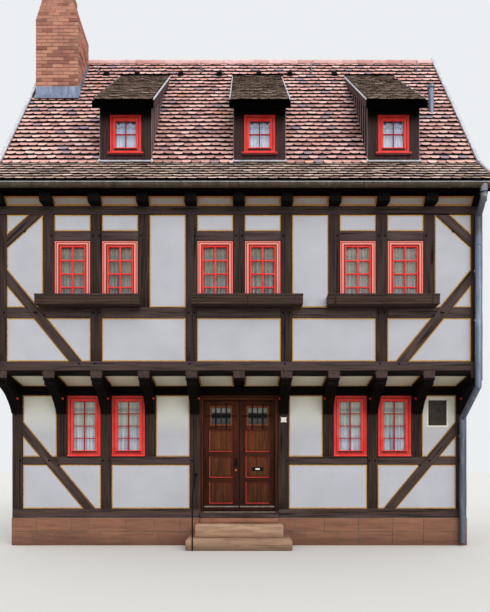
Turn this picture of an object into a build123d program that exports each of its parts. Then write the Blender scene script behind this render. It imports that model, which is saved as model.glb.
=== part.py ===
from build123d import *
from math import atan2, cos, radians, sin, tan
import os

# Half timbered town house with a jettied upper storey, three dormers and a double door.
# X runs along the street front, Y from the street to the back and Z up, in millimetres.
# The origin lies on the ground, below the ridge and below the middle joist.

# Timber frame: bays between post centres, and the section of its members
bay = 870
side_bays = 5
post_width = 210
wall_depth = 180
infill_recess = 12
infill_depth = 150
half_depth = 3100
jetty = 760

# Heights of the ground storey, from the ground up
plinth_height = 540
sill_height = 180
ground_parapet = 860
ground_rail = 160
ground_window_height = 1200
ground_plate = 180
joist_height = 180

# Heights of the upper storey
upper_sill = 170
upper_parapet = 790
upper_rail = 200
upper_window_height = 1220
head_rail = 175
frieze_height = 295
top_plate = 160
attic_joist_height = 160

# Floors and party walls
plinth_projection = 10
ground_floor_height = 110
upper_floor_height = 35
attic_floor_height = 30
party_wall_width = 240

# Braces: foot of the upper edge from the middle, head above the storey's sill, and width
ground_brace_foot = 2833
ground_brace_rise = 1694
upper_brace_foot = 2877
upper_brace_rise = 1674
brace_width = 175
knee_drop = 602

# Jetty: brackets below the joists, coving between them and the filler behind the sill
bracket_width = 180
bracket_height = 540
bracket_setback = 30
bracket_toe = 70
bracket_sag = 90
filler_depth = 120
filler_height = 85
coving_thickness = 25

# Eaves
eaves_overhang = 260
joist_overhang = 200
eaves_coving_reach = 170
eaves_coving_lip = 15
fascia_height = 150

# Roof slabs
sprocket_pitch = 42
main_pitch = 55
kink_inset = 460
roof_thickness = 180
verge_overhang = 95
verge_board = 25
verge_rise = 40
ridge_gap = 12
ridge_tile_radius = 120
ridge_tile_drop = 30

# Dormers
dormer_pitch = 2560
dormer_shift = 390
dormer_half_width = 490
dormer_cheek = 60
dormer_front_inset = 20
dormer_roof_pitch = 40.5
dormer_roof_overhang = 256
dormer_roof_side = 87
dormer_roof_thickness = 110
dormer_eave_rise = 1735
dormer_opening_back = 950
dormer_window_width = 608
dormer_window_height = 700
dormer_window_rise = 1066
dormer_sill_height = 76
dormer_sill_depth = 40
dormer_sill_side = 36
dormer_frame_proud = 20

# Windows: an outer frame, and a casement in it with bars between the panes
frame_width = 64
frame_depth = 70
casement_width = 56
casement_setback = 12
glazing_bar = 26
bar_setback = 18
pane_rows = 4
dormer_pane_rows = 2
glass_setback = 40
glass_thickness = 6
curtain_gap = 0.3
curtain_thickness = 30
curtain_side = 12
curtain_share = 0.96

# Entrance door
door_sill_height = 120
door_sill_front = 60
door_frame_setback = 20
door_frame_depth = 120
door_jamb = 55
door_head_height = 94
leaf_thickness = 50
leaf_clearance = 5
leaf_top_clearance = 6
leaf_bottom_clearance = 8
meeting_gap = 10
panel_side = 125
panel_hinge_side = 110
panel_base = 145
panel_height = 425
panel_gap = 85
panel_rows = 3
panel_recess = 14
panel_back_recess = 8
panel_border = 45
panel_field = 8
light_centre = 360
light_width = 370
light_height = 320
light_rise = 1716
light_bar = 24
light_bar_setback = 8
weather_board_height = 97
weather_board_top = 74
weather_board_front = 14
grille_bar_width = 20
grille_tip_width = 8
grille_thickness = 14
grille_spacing = 210
grille_upright = 530
grille_cross = 594

# Door hinges
hinge_rises = (260, 1080, 1900)
knuckle_radius = 11
knuckle_height = 50
knuckle_gap = 0.3
pin_radius = 5
pin_clearance = 0.3
hinge_reach = 2.5
hinge_offset = 12
strap_thickness = 6
strap_length = 65

# Door furniture
handle_rise = 960
handle_inset = 62
handle_plate_width = 45
handle_plate_height = 165
handle_plate_thickness = 5
knob_radius = 26
knob_neck = 9
knob_reach = 52
knob_length = 30
knob_face = 15
letter_width = 226
letter_height = 66
letter_thickness = 10
letter_rise = 826
letter_slot = 16

# Entrance steps and handrail
lower_step_half = 980
lower_step_front = 750
lower_step_height = 200
upper_step_half = 840
upper_step_front = 400
threshold_height = 100
threshold_front = 110
rail_radius = 12
rail_height = 1030
rail_x = -852
rail_end_height = 1390
rail_bend = 90
rail_rose_radius = 32
rail_rose_depth = 8

# Flower boxes: middle and width of each, below the windows of the upper storey
flower_boxes_at = ((-2720, 1880), (150, 2000), (2600, 2000))
flower_box_depth = 220
flower_box_height = 180
flower_box_wall = 20
flower_box_recess = 40

# Chimney
chimney_width = 925
chimney_front = 1056
chimney_depth = 800
chimney_shoulder = 11300
chimney_hood = 800
chimney_top_width = 500
chimney_top_depth = 540
chimney_top_shift = -40
chimney_cap = 100
chimney_cap_lip = 25
flue_width = 240
flue_depth = 450

# Gutters, downpipes and vent pipe
gutter_radius = 70
gutter_wall = 6
gutter_rise = 60
pipe_radius = 58
pipe_x = 4340
pipe_outlet_drop = 160
pipe_wall_gap = 32
pipe_neck_drop = 250
pipe_foot = 60
pipe_jetty_high = 3000
pipe_jetty_low = 2480
funnel_height = 110
funnel_rim = 20
funnel_lip = 8
clip_height = 30
clip_width = 60
clip_lip = 8
clip_levels = (5570, 3600, 2120, 910)
vent_x = 4036
vent_y = -1485
vent_radius = 55
vent_height = 600
vent_cap_radius = 78
vent_cap_height = 45

# Plaque
plaque_width = 353
plaque_height = 490
plaque_thickness = 20
plaque_x = 3885
plaque_rise = 1632

# Places worked out from the sizes above
upper_face = -half_depth
ground_face = upper_face + jetty
back_face = half_depth
wall_end = side_bays * bay + post_width / 2
corner_x = side_bays * bay - post_width / 2
room_end = wall_end - party_wall_width
door_half = bay - post_width / 2
ground_low = plinth_height + sill_height
ground_rail_low = ground_low + ground_parapet
ground_high = ground_rail_low + ground_rail + ground_window_height
joist_low = ground_high + ground_plate
joist_top = joist_low + joist_height
upper_low = joist_top + upper_sill
upper_rail_low = upper_low + upper_parapet
upper_rail_top = upper_rail_low + upper_rail
upper_high = upper_rail_top + upper_window_height + head_rail + frieze_height
attic_joist_low = upper_high + top_plate
attic_joist_top = attic_joist_low + attic_joist_height
attic_floor_top = attic_joist_top + attic_floor_height
joist_lines = [k * bay for k in range(-side_bays, side_bays + 1)]

# Roof lines, as distances from the ridge and heights
fascia_y = half_depth + eaves_overhang
kink_y = half_depth - kink_inset
main_rise = tan(radians(main_pitch))
sprocket_rise = tan(radians(sprocket_pitch))
main_drop = roof_thickness / cos(radians(main_pitch))
sprocket_drop = roof_thickness / cos(radians(sprocket_pitch))
kink_z = attic_floor_top + fascia_height + (fascia_y - kink_y) * sprocket_rise
ridge_z = kink_z + kink_y * main_rise
slope_cut = kink_y - (main_drop - sprocket_drop) / (main_rise - sprocket_rise)
slope_foot = kink_y + (kink_z - sprocket_drop - attic_floor_top) / sprocket_rise
roof_end = wall_end + verge_overhang

# Dormer lines
dormer_centres = [dormer_shift + n * dormer_pitch for n in (-1, 0, 1)]
dormer_front = kink_y - dormer_front_inset
dormer_rise = tan(radians(dormer_roof_pitch))
dormer_drop = dormer_roof_thickness / cos(radians(dormer_roof_pitch))
dormer_eave_y = dormer_front + dormer_roof_overhang
dormer_eave_z = attic_floor_top + dormer_eave_rise
dormer_window_low = attic_floor_top + dormer_window_rise


def roof_top(y):
    """Height of the roof's upper face at a distance y from the ridge."""
    if abs(y) <= kink_y:
        return ridge_z - abs(y) * main_rise
    return kink_z - (abs(y) - kink_y) * sprocket_rise


def roof_under(y):
    """Height of the main slope's underside at a distance y from the ridge."""
    return ridge_z - main_drop - abs(y) * main_rise


def dormer_under(y):
    """Height of a dormer roof's underside at a distance y from the ridge."""
    return dormer_eave_z + (dormer_eave_y - y) * dormer_rise


def meets_main_slope(lift):
    """Distance from the ridge at which a dormer line, lifted above its underside, meets the roof."""
    gap = ridge_z - dormer_eave_z - lift - dormer_eave_y * dormer_rise
    return gap / (main_rise - dormer_rise)


def area(x0, x1, z0, z1, mode=Mode.ADD):
    """Add or cut the rectangle between two abscissas and two ordinates of the sketch."""
    with Locations(((x0 + x1) / 2, (z0 + z1) / 2)):
        Rectangle(x1 - x0, z1 - z0, mode=mode)


def block(x0, x1, y0, y1, z0, z1, mode=Mode.ADD):
    """Add or cut a block between its lowest and highest corners."""
    with Locations(((x0 + x1) / 2, (y0 + y1) / 2, (z0 + z1) / 2)):
        Box(x1 - x0, y1 - y0, z1 - z0, mode=mode)


def raise_layout(layout, outer_y, depth, inward):
    """Stand a wall layout on the plane y = outer_y and thicken it towards the inside."""
    with BuildSketch(Plane.XZ.offset(-outer_y)) as raised:
        add(layout)
    extrude(raised.sketch, amount=-depth * inward)


def profile(points, x0, x1):
    """Extrude an outline in Y and Z along X."""
    with BuildSketch(Plane.YZ.offset(x0)) as outline:
        Polygon(*points, align=None)
    extrude(outline.sketch, amount=x1 - x0)


def window_cells(first_bays, low, high):
    """Openings between the posts, two beside each other for each pair of windows."""
    starts = [k + n for k in first_bays for n in (0, 1)]
    reveal = post_width / 2
    return [(k * bay + reveal, (k + 1) * bay - reveal, low, high) for k in starts]


def draw_posts(full, short, low, rail_top, high):
    """Posts from sill to plate, and posts that stand on the rail."""
    with BuildSketch() as posts:
        for k in full:
            area(k * bay - post_width / 2, k * bay + post_width / 2, low, high)
        for k in short:
            area(k * bay - post_width / 2, k * bay + post_width / 2, rail_top, high)
    return posts.sketch


def draw_braces(low, high, foot, rise, with_knee):
    """A long brace from the sill to each corner post, and a knee from the plate to it."""
    angle = atan2(rise, corner_x - foot)
    along_sill = brace_width / sin(angle)
    along_post = brace_width / cos(angle)
    knee_angle = atan2(knee_drop, bay - post_width)
    with BuildSketch() as braces:
        for side in (-1, 1):
            long_brace = (
                (side * foot, low),
                (side * (foot + along_sill), low),
                (side * corner_x, low + rise - along_post),
                (side * corner_x, low + rise),
            )
            Polygon(*long_brace[::side], align=None)
            knee = (
                (side * (corner_x - bay + post_width), high),
                (side * corner_x, high - knee_drop),
                (side * corner_x, high - knee_drop + brace_width / cos(knee_angle)),
                (side * (corner_x - bay + post_width + brace_width / sin(knee_angle)), high),
            )
            if with_knee:
                Polygon(*knee[::side], align=None)
    return braces.sketch


def draw_rails(posts, braces, rail, head, head_bays, doorway):
    """The rail across the wall and the head rails over its windows, cut at posts and braces."""
    with BuildSketch() as rails:
        area(-corner_x, corner_x, *rail)
        for x0, x1, _, _ in window_cells(head_bays, *rail):
            area(x0, x1, *head)
        add(posts, mode=Mode.SUBTRACT)
        add(braces, mode=Mode.SUBTRACT)
        if doorway:
            area(-door_half, door_half, *rail, mode=Mode.SUBTRACT)
    return rails.sketch


def draw_infill(low, high, members, cells, doorway):
    """The plastered panels: what the timbers, windows and doorway leave of the wall."""
    with BuildSketch() as infill:
        area(-corner_x, corner_x, low, high)
        for member in members:
            add(member, mode=Mode.SUBTRACT)
        for cell in cells:
            area(*cell, mode=Mode.SUBTRACT)
        if doorway:
            area(-door_half, door_half, low, high, mode=Mode.SUBTRACT)
    return infill.sketch


def ground_wall(window_bays, short, doorway):
    """Layout of a ground storey wall, drawn in X and Z."""
    rail_top = ground_rail_low + ground_rail
    posts = draw_posts((-5, -3, -1, 1, 3, 5), short, ground_low, rail_top, ground_high)
    braces = draw_braces(ground_low, ground_high, ground_brace_foot, ground_brace_rise, False)
    rails = draw_rails(posts, braces, (ground_rail_low, rail_top), (0, 0), (), doorway)
    cells = window_cells(window_bays, rail_top, ground_high)
    infill = draw_infill(ground_low, ground_high, (posts, braces, rails), cells, doorway)
    return {"posts": posts, "braces": braces, "rails": rails, "infill": infill, "cells": cells}


def upper_wall(window_bays):
    """Layout of an upper storey wall, drawn in X and Z."""
    rail_top = upper_rail_top
    window_top = rail_top + upper_window_height
    posts = draw_posts((-5, -3, -1, 1, 3, 5), (-4, -2, 0, 2, 4), upper_low, rail_top, upper_high)
    braces = draw_braces(upper_low, upper_high, upper_brace_foot, upper_brace_rise, True)
    head = (window_top, window_top + head_rail)
    rails = draw_rails(posts, braces, (upper_rail_low, rail_top), head, window_bays, False)
    cells = window_cells(window_bays, rail_top, window_top)
    infill = draw_infill(upper_low, upper_high, (posts, braces, rails), cells, False)
    return {"posts": posts, "braces": braces, "rails": rails, "infill": infill, "cells": cells}


ground_windows = (-4, 2)
upper_windows = (-4, -1, 2)
ground_walls = (
    (ground_wall(ground_windows, (-4, -2, 2, 4), True), ground_face, 1),
    (ground_wall(ground_windows, (-4, -2, 0, 2, 4), False), back_face, -1),
)
upper_walls = (
    (upper_wall(upper_windows), upper_face, 1),
    (upper_wall(upper_windows), back_face, -1),
)


def timbers(walls, kind):
    """Raise one kind of timber of both walls of a storey."""
    for layout, outer_y, inward in walls:
        raise_layout(layout[kind], outer_y, wall_depth, inward)


def panels(walls):
    """Raise the plastered panels of both walls of a storey, behind the timbers' faces."""
    for layout, outer_y, inward in walls:
        raise_layout(layout["infill"], outer_y + inward * infill_recess, infill_depth, inward)


def draw_frames(cells):
    """Rings of the window frames that fill the openings."""
    with BuildSketch() as rings:
        for x0, x1, z0, z1 in cells:
            area(x0, x1, z0, z1)
            inner = (x0 + frame_width, x1 - frame_width, z0 + frame_width, z1 - frame_width)
            area(*inner, mode=Mode.SUBTRACT)
    return rings.sketch


def draw_casements(cells):
    """Casement rings within the frames."""
    with BuildSketch() as rings:
        for x0, x1, z0, z1 in cells:
            inset = frame_width
            area(x0 + inset, x1 - inset, z0 + inset, z1 - inset)
            inset += casement_width
            area(x0 + inset, x1 - inset, z0 + inset, z1 - inset, mode=Mode.SUBTRACT)
    return rings.sketch


def draw_bars(cells, rows):
    """Glazing bars: one upright in the middle of each casement, and one between each two rows."""
    half = glazing_bar / 2
    with BuildSketch() as bars:
        for x0, x1, z0, z1 in cells:
            inset = frame_width + casement_width
            left, right, low, high = x0 + inset, x1 - inset, z0 + inset, z1 - inset
            area((x0 + x1) / 2 - half, (x0 + x1) / 2 + half, low, high)
            for row in range(1, rows):
                level = low + (high - low) * row / rows
                area(left, right, level - half, level + half)
    return bars.sketch


def draw_panes(cells):
    """Sheets of glass that fill the rings."""
    with BuildSketch() as panes:
        for x0, x1, z0, z1 in cells:
            area(x0 + frame_width, x1 - frame_width, z0 + frame_width, z1 - frame_width)
    return panes.sketch


def draw_curtains(cells):
    """Net curtains that hang over the lower part of the windows."""
    with BuildSketch() as curtains:
        for x0, x1, z0, z1 in cells:
            top = z0 + frame_width + (z1 - z0 - 2 * frame_width) * curtain_share
            area(x0 + curtain_side, x1 - curtain_side, z0 + curtain_side, top)
    return curtains.sketch


def window_joinery(cells, outer_y, inward, rows):
    """Raise the frames, casements and glazing bars of a row of windows."""
    raise_layout(draw_frames(cells), outer_y, frame_depth, inward)
    for layout, setback in (
        (draw_casements(cells), casement_setback),
        (draw_bars(cells, rows), bar_setback),
    ):
        raise_layout(layout, outer_y + inward * setback, glass_setback - setback, inward)


def casements(walls):
    """Raise the windows of both walls of a storey."""
    for layout, outer_y, inward in walls:
        window_joinery(layout["cells"], outer_y, inward, pane_rows)


# Masonry below the frame
with BuildPart() as plinth:
    block(
        -wall_end,
        wall_end,
        ground_face - plinth_projection,
        back_face + plinth_projection,
        0,
        plinth_height,
    )

plinth_face = ground_face - plinth_projection
step_top = plinth_height - threshold_height

with BuildPart() as lower_step:
    block(
        -lower_step_half,
        lower_step_half,
        ground_face - lower_step_front,
        plinth_face,
        0,
        lower_step_height,
    )

with BuildPart() as upper_step:
    block(
        -upper_step_half,
        upper_step_half,
        ground_face - upper_step_front,
        plinth_face,
        lower_step_height,
        step_top,
    )

with BuildPart() as threshold_stone:
    block(
        -door_half,
        door_half,
        ground_face - threshold_front,
        plinth_face,
        step_top,
        plinth_height,
    )

door_sill_top = plinth_height + door_sill_height

with BuildPart() as door_sill:
    block(
        -door_half,
        door_half,
        ground_face - door_sill_front,
        ground_face + wall_depth,
        plinth_height,
        door_sill_top,
    )

# Ground storey
with BuildPart() as ground_plates:
    for x0, x1 in ((-wall_end, -door_half), (door_half, wall_end)):
        block(x0, x1, ground_face, ground_face + wall_depth, plinth_height, ground_low)
    block(-wall_end, wall_end, back_face - wall_depth, back_face, plinth_height, ground_low)
    for front in (ground_face, back_face - wall_depth):
        block(-wall_end, wall_end, front, front + wall_depth, ground_high, joist_low)

with BuildPart() as ground_posts:
    timbers(ground_walls, "posts")

with BuildPart() as ground_rails:
    timbers(ground_walls, "rails")

with BuildPart() as ground_braces:
    timbers(ground_walls, "braces")

with BuildPart() as ground_infill:
    panels(ground_walls)

with BuildPart() as ground_window_frames:
    casements(ground_walls)

# Floor joists: nine run through, and the outer ones are stubs beside the party walls
with BuildPart() as floor_joists:
    for x in joist_lines[1:-1]:
        left, right = x - post_width / 2, x + post_width / 2
        block(left, right, upper_face, back_face, joist_low, joist_top)
        ends = half_depth + joist_overhang
        block(left, right, -ends, ends, attic_joist_low, attic_joist_top)
    for x0, x1 in ((-wall_end, -corner_x), (corner_x, wall_end)):
        block(x0, x1, upper_face, ground_face + wall_depth, joist_low, joist_top)
        for side in (-1, 1):
            inner = side * (half_depth - wall_depth)
            outer = side * (half_depth + joist_overhang)
            y0, y1 = min(inner, outer), max(inner, outer)
            block(x0, x1, y0, y1, attic_joist_low, attic_joist_top)

# Curved brackets below every joist but the one over the door
bracket_tip = upper_face + bracket_setback
bracket_foot = joist_low - bracket_height
with BuildPart() as jetty_brackets:
    for x in joist_lines:
        if x == 0:
            continue
        with BuildSketch(Plane.YZ.offset(x - bracket_width / 2)):
            with BuildLine():
                toe = (ground_face - bracket_toe, bracket_foot)
                nose = (bracket_tip, joist_low - bracket_toe)
                run, rise = toe[0] - nose[0], nose[1] - toe[1]
                chord = (run**2 + rise**2) ** 0.5
                sag_y = (toe[0] + nose[0]) / 2 + bracket_sag * rise / chord
                sag_z = (toe[1] + nose[1]) / 2 + bracket_sag * run / chord
                Polyline(nose, (bracket_tip, joist_low), (ground_face, joist_low))
                Polyline((ground_face, joist_low), (ground_face, bracket_foot), toe)
                ThreePointArc(toe, (sag_y, sag_z), nose)
            make_face()
        extrude(amount=bracket_width)

# Plastered coving between the joists, below the jetty and below the eaves
joist_bays = list(zip(joist_lines[:-1], joist_lines[1:]))
coving_front = upper_face + filler_depth
coving_top = joist_top - filler_height + coving_thickness
with BuildPart() as coving:
    for x0, x1 in joist_bays:
        left, right = x0 + post_width / 2, x1 - post_width / 2
        jetty_coving = (
            (ground_face, joist_low),
            (ground_face, joist_low + coving_thickness),
            (coving_front, coving_top + coving_thickness),
            (coving_front, coving_top),
        )
        profile(jetty_coving, left, right)
        for side in (-1, 1):
            reach = half_depth + eaves_coving_reach
            eaves_coving = (
                (side * (half_depth - wall_depth), attic_joist_low),
                (side * half_depth, attic_joist_low),
                (side * reach, attic_joist_top - eaves_coving_lip),
                (side * reach, attic_joist_top),
                (side * (half_depth - wall_depth), attic_joist_top),
            )
            profile(eaves_coving[::side], left, right)

with BuildPart() as joist_fillers:
    for x0, x1 in joist_bays:
        left, right = x0 + post_width / 2, x1 - post_width / 2
        block(left, right, upper_face, coving_front, joist_top - filler_height, joist_top)
        left = -wall_end if x0 == joist_lines[0] else left
        right = wall_end if x1 == joist_lines[-1] else right
        block(left, right, back_face - wall_depth, back_face, joist_low, joist_top)

# Upper storey
with BuildPart() as upper_plates:
    for front in (upper_face, back_face - wall_depth):
        block(-wall_end, wall_end, front, front + wall_depth, joist_top, upper_low)
        block(-wall_end, wall_end, front, front + wall_depth, upper_high, attic_joist_low)

with BuildPart() as upper_posts:
    timbers(upper_walls, "posts")

with BuildPart() as upper_rails:
    timbers(upper_walls, "rails")

with BuildPart() as upper_braces:
    timbers(upper_walls, "braces")

with BuildPart() as upper_infill:
    panels(upper_walls)

with BuildPart() as upper_window_frames:
    casements(upper_walls)

with BuildPart() as window_glass:
    for layout, outer_y, inward in ground_walls + upper_walls:
        panes = draw_panes(layout["cells"])
        raise_layout(panes, outer_y + inward * glass_setback, glass_thickness, inward)

with BuildPart() as flower_boxes:
    for middle, width in flower_boxes_at:
        left, right = middle - width / 2, middle + width / 2
        front, top = upper_face - flower_box_depth, upper_rail_top + flower_box_height
        block(left, right, front, upper_face, upper_rail_top, top)
        block(
            left + flower_box_wall,
            right - flower_box_wall,
            front + flower_box_wall,
            upper_face - flower_box_wall,
            top - flower_box_recess,
            top,
            mode=Mode.SUBTRACT,
        )

# Floors
with BuildPart() as ground_floor:
    floor_top = plinth_height + ground_floor_height
    inner_front, inner_back = ground_face + wall_depth, back_face - wall_depth
    block(-room_end, room_end, inner_front, inner_back, plinth_height, floor_top)

with BuildPart() as upper_floor:
    inner = half_depth - wall_depth
    floor_top = joist_top + upper_floor_height
    block(-room_end, room_end, -inner, inner, joist_top, floor_top)

with BuildPart() as attic_floor:
    block(-wall_end, wall_end, -fascia_y, fascia_y, attic_joist_top, attic_floor_top)

# Plain party walls at both ends of the house
inner_back = back_face - wall_depth
party_sides = ((-wall_end, -room_end), (room_end, wall_end))
with BuildPart() as ground_party_walls:
    for x0, x1 in party_sides:
        block(x0, x1, ground_face + wall_depth, inner_back, plinth_height, joist_top)

with BuildPart() as upper_party_walls:
    for x0, x1 in party_sides:
        block(x0, x1, -inner_back, inner_back, joist_top, attic_joist_top)

with BuildPart() as gables:
    for x0, x1 in party_sides:
        half = ((slope_foot, attic_floor_top), (slope_cut, roof_under(slope_cut)))
        left_half = [(-y, z) for y, z in half]
        profile([*left_half, (0, roof_under(0)), *reversed(half)], x0, x1)

# Roof slabs, cut upright where the dormers open
eaves_outline = (
    (fascia_y, attic_floor_top),
    (fascia_y, attic_floor_top + fascia_height),
    (kink_y, kink_z),
    (slope_cut, roof_top(slope_cut)),
    (slope_cut, roof_under(slope_cut)),
    (slope_foot, attic_floor_top),
)


def slope_outline(low_y, high_y, side):
    """Outline of the main slope between two distances from the ridge."""
    corners = ((low_y, roof_top), (high_y, roof_top), (high_y, roof_under), (low_y, roof_under))
    return [(side * y, height(y)) for y, height in corners][::side]


with BuildPart() as roof_eaves:
    for side in (-1, 1):
        profile([(side * y, z) for y, z in eaves_outline][::side], -roof_end, roof_end)

opening_half = dormer_half_width - dormer_cheek
strip_edges = [-roof_end]
for centre in dormer_centres:
    strip_edges += [centre - opening_half, centre + opening_half]
strip_edges.append(roof_end)

with BuildPart() as roof_front_strips:
    for x0, x1 in zip(strip_edges[::2], strip_edges[1::2]):
        profile(slope_outline(slope_cut, dormer_opening_back, -1), x0, x1)

with BuildPart() as roof_front_top:
    profile(slope_outline(dormer_opening_back, 0, -1), -roof_end, roof_end)

with BuildPart() as roof_back:
    profile(slope_outline(slope_cut, 0, 1), -roof_end, roof_end)

with BuildPart() as ridge_tiles:
    with BuildSketch(Plane.YZ.offset(-roof_end)):
        with Locations((0, ridge_z - ridge_tile_drop)):
            Circle(ridge_tile_radius)
        foot = ridge_tile_radius * 2
        below = ((0, ridge_z), (-foot, roof_top(foot)), (foot, roof_top(foot)))
        Polygon(*below, align=None, mode=Mode.SUBTRACT)
        base = roof_top(foot) - ridge_tile_radius
        area(-foot, foot, base, roof_top(foot), mode=Mode.SUBTRACT)
    extrude(amount=2 * roof_end)

with BuildPart() as verge_boards:
    gap = ridge_gap / 2
    board = (
        (fascia_y, attic_floor_top),
        (fascia_y, attic_floor_top + fascia_height + verge_rise),
        (kink_y, kink_z + verge_rise),
        (gap, roof_top(gap) + verge_rise),
        (gap, roof_under(gap)),
        (slope_cut, roof_under(slope_cut)),
        (slope_foot, attic_floor_top),
    )
    for side in (-1, 1):
        outline = [(side * y, z) for y, z in board][::side]
        profile(outline, -roof_end - verge_board, -roof_end)
        profile(outline, roof_end, roof_end + verge_board)

# Dormers: a boarded front, two cheeks, a shed roof and a window each
dormer_wall = (
    (-dormer_front, roof_top(dormer_front)),
    (-slope_cut, roof_top(slope_cut)),
    (-slope_cut, dormer_under(slope_cut)),
    (-dormer_front, dormer_under(dormer_front)),
)
window_half = dormer_window_width / 2
window_top = dormer_window_low + dormer_window_height

with BuildPart() as dormer_fronts:
    for centre in dormer_centres:
        profile(dormer_wall, centre - dormer_half_width, centre + dormer_half_width)
        block(
            centre - window_half,
            centre + window_half,
            -dormer_front,
            -slope_cut,
            dormer_window_low,
            window_top,
            mode=Mode.SUBTRACT,
        )

cheek_tip = meets_main_slope(0)
dormer_side = (
    (-slope_cut, roof_top(slope_cut)),
    (-cheek_tip, roof_top(cheek_tip)),
    (-slope_cut, dormer_under(slope_cut)),
)
with BuildPart() as dormer_cheeks:
    for centre in dormer_centres:
        for inner in (centre - dormer_half_width, centre + opening_half):
            profile(dormer_side, inner, inner + dormer_cheek)

roof_tip = meets_main_slope(dormer_drop)
dormer_slab = (
    (-dormer_eave_y, dormer_eave_z),
    (-cheek_tip, roof_top(cheek_tip)),
    (-roof_tip, roof_top(roof_tip)),
    (-dormer_eave_y, dormer_eave_z + dormer_drop),
)
with BuildPart() as dormer_roofs:
    half = dormer_half_width + dormer_roof_side
    for centre in dormer_centres:
        profile(dormer_slab, centre - half, centre + half)

dormer_cells = [
    (centre - window_half, centre + window_half, dormer_window_low, window_top)
    for centre in dormer_centres
]
dormer_frame_y = -dormer_front - dormer_frame_proud
with BuildPart() as dormer_windows:
    window_joinery(dormer_cells, dormer_frame_y, 1, dormer_pane_rows)
    for x0, x1, z0, z1 in dormer_cells:
        block(
            x0 - dormer_sill_side,
            x1 + dormer_sill_side,
            -dormer_front - dormer_sill_depth,
            -dormer_front,
            z0 - dormer_sill_height,
            z0,
        )

with BuildPart() as dormer_glass:
    raise_layout(draw_panes(dormer_cells), dormer_frame_y + glass_setback, glass_thickness, 1)

# Net curtains behind the windows of the storeys and of the dormers
with BuildPart() as net_curtains:
    for layout, outer_y, inward in ground_walls + upper_walls:
        hung = outer_y + inward * (frame_depth + curtain_gap)
        raise_layout(draw_curtains(layout["cells"]), hung, curtain_thickness, inward)
    hung = dormer_frame_y + frame_depth + curtain_gap
    raise_layout(draw_curtains(dormer_cells), hung, curtain_thickness, 1)

# Chimney, with sloping shoulders below its cap
chimney_left = -wall_end
chimney_mid_x = chimney_left + chimney_width / 2
chimney_mid_y = -chimney_front + chimney_depth / 2
chimney_back = chimney_front - chimney_depth
hood_top = chimney_shoulder + chimney_hood
with BuildPart() as chimney:
    stack = (
        (-chimney_front, roof_top(chimney_front)),
        (-chimney_back, roof_top(chimney_back)),
        (-chimney_back, chimney_shoulder),
        (-chimney_front, chimney_shoulder),
    )
    profile(stack, chimney_left, chimney_left + chimney_width)
    with BuildSketch(Plane.XY.offset(chimney_shoulder)):
        with Locations((chimney_mid_x, chimney_mid_y)):
            Rectangle(chimney_width, chimney_depth)
    with BuildSketch(Plane.XY.offset(hood_top)):
        with Locations((chimney_mid_x + chimney_top_shift, chimney_mid_y)):
            Rectangle(chimney_top_width, chimney_top_depth)
    loft()
    with BuildSketch(Plane.XY.offset(hood_top)):
        with Locations((chimney_mid_x + chimney_top_shift, chimney_mid_y)):
            lip = 2 * chimney_cap_lip
            Rectangle(chimney_top_width + lip, chimney_top_depth + lip)
    extrude(amount=chimney_cap)
    with BuildSketch(Plane.XY.offset(hood_top + chimney_cap)):
        with Locations((chimney_mid_x + chimney_top_shift, chimney_mid_y)):
            Rectangle(flue_width, flue_width)
    extrude(amount=-flue_depth, mode=Mode.SUBTRACT)

# Gutters with closed ends, and the downpipes that hang on clips
gutter_y = fascia_y + gutter_radius
gutter_z = attic_floor_top + gutter_rise
with BuildPart() as gutters:
    for side in (-1, 1):
        with BuildSketch(Plane.YZ.offset(-roof_end)):
            with Locations((side * gutter_y, gutter_z)):
                Circle(gutter_radius)
                Circle(gutter_radius - gutter_wall, mode=Mode.SUBTRACT)
                with Locations((0, gutter_radius)):
                    Rectangle(3 * gutter_radius, 2 * gutter_radius, mode=Mode.SUBTRACT)
        extrude(amount=2 * roof_end)
        for end, inward in ((-roof_end, 1), (roof_end, -1)):
            with BuildSketch(Plane.YZ.offset(end)):
                with Locations((side * gutter_y, gutter_z)):
                    Circle(gutter_radius)
                    with Locations((0, gutter_radius)):
                        Rectangle(3 * gutter_radius, 2 * gutter_radius, mode=Mode.SUBTRACT)
            extrude(amount=inward * gutter_wall)

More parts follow.
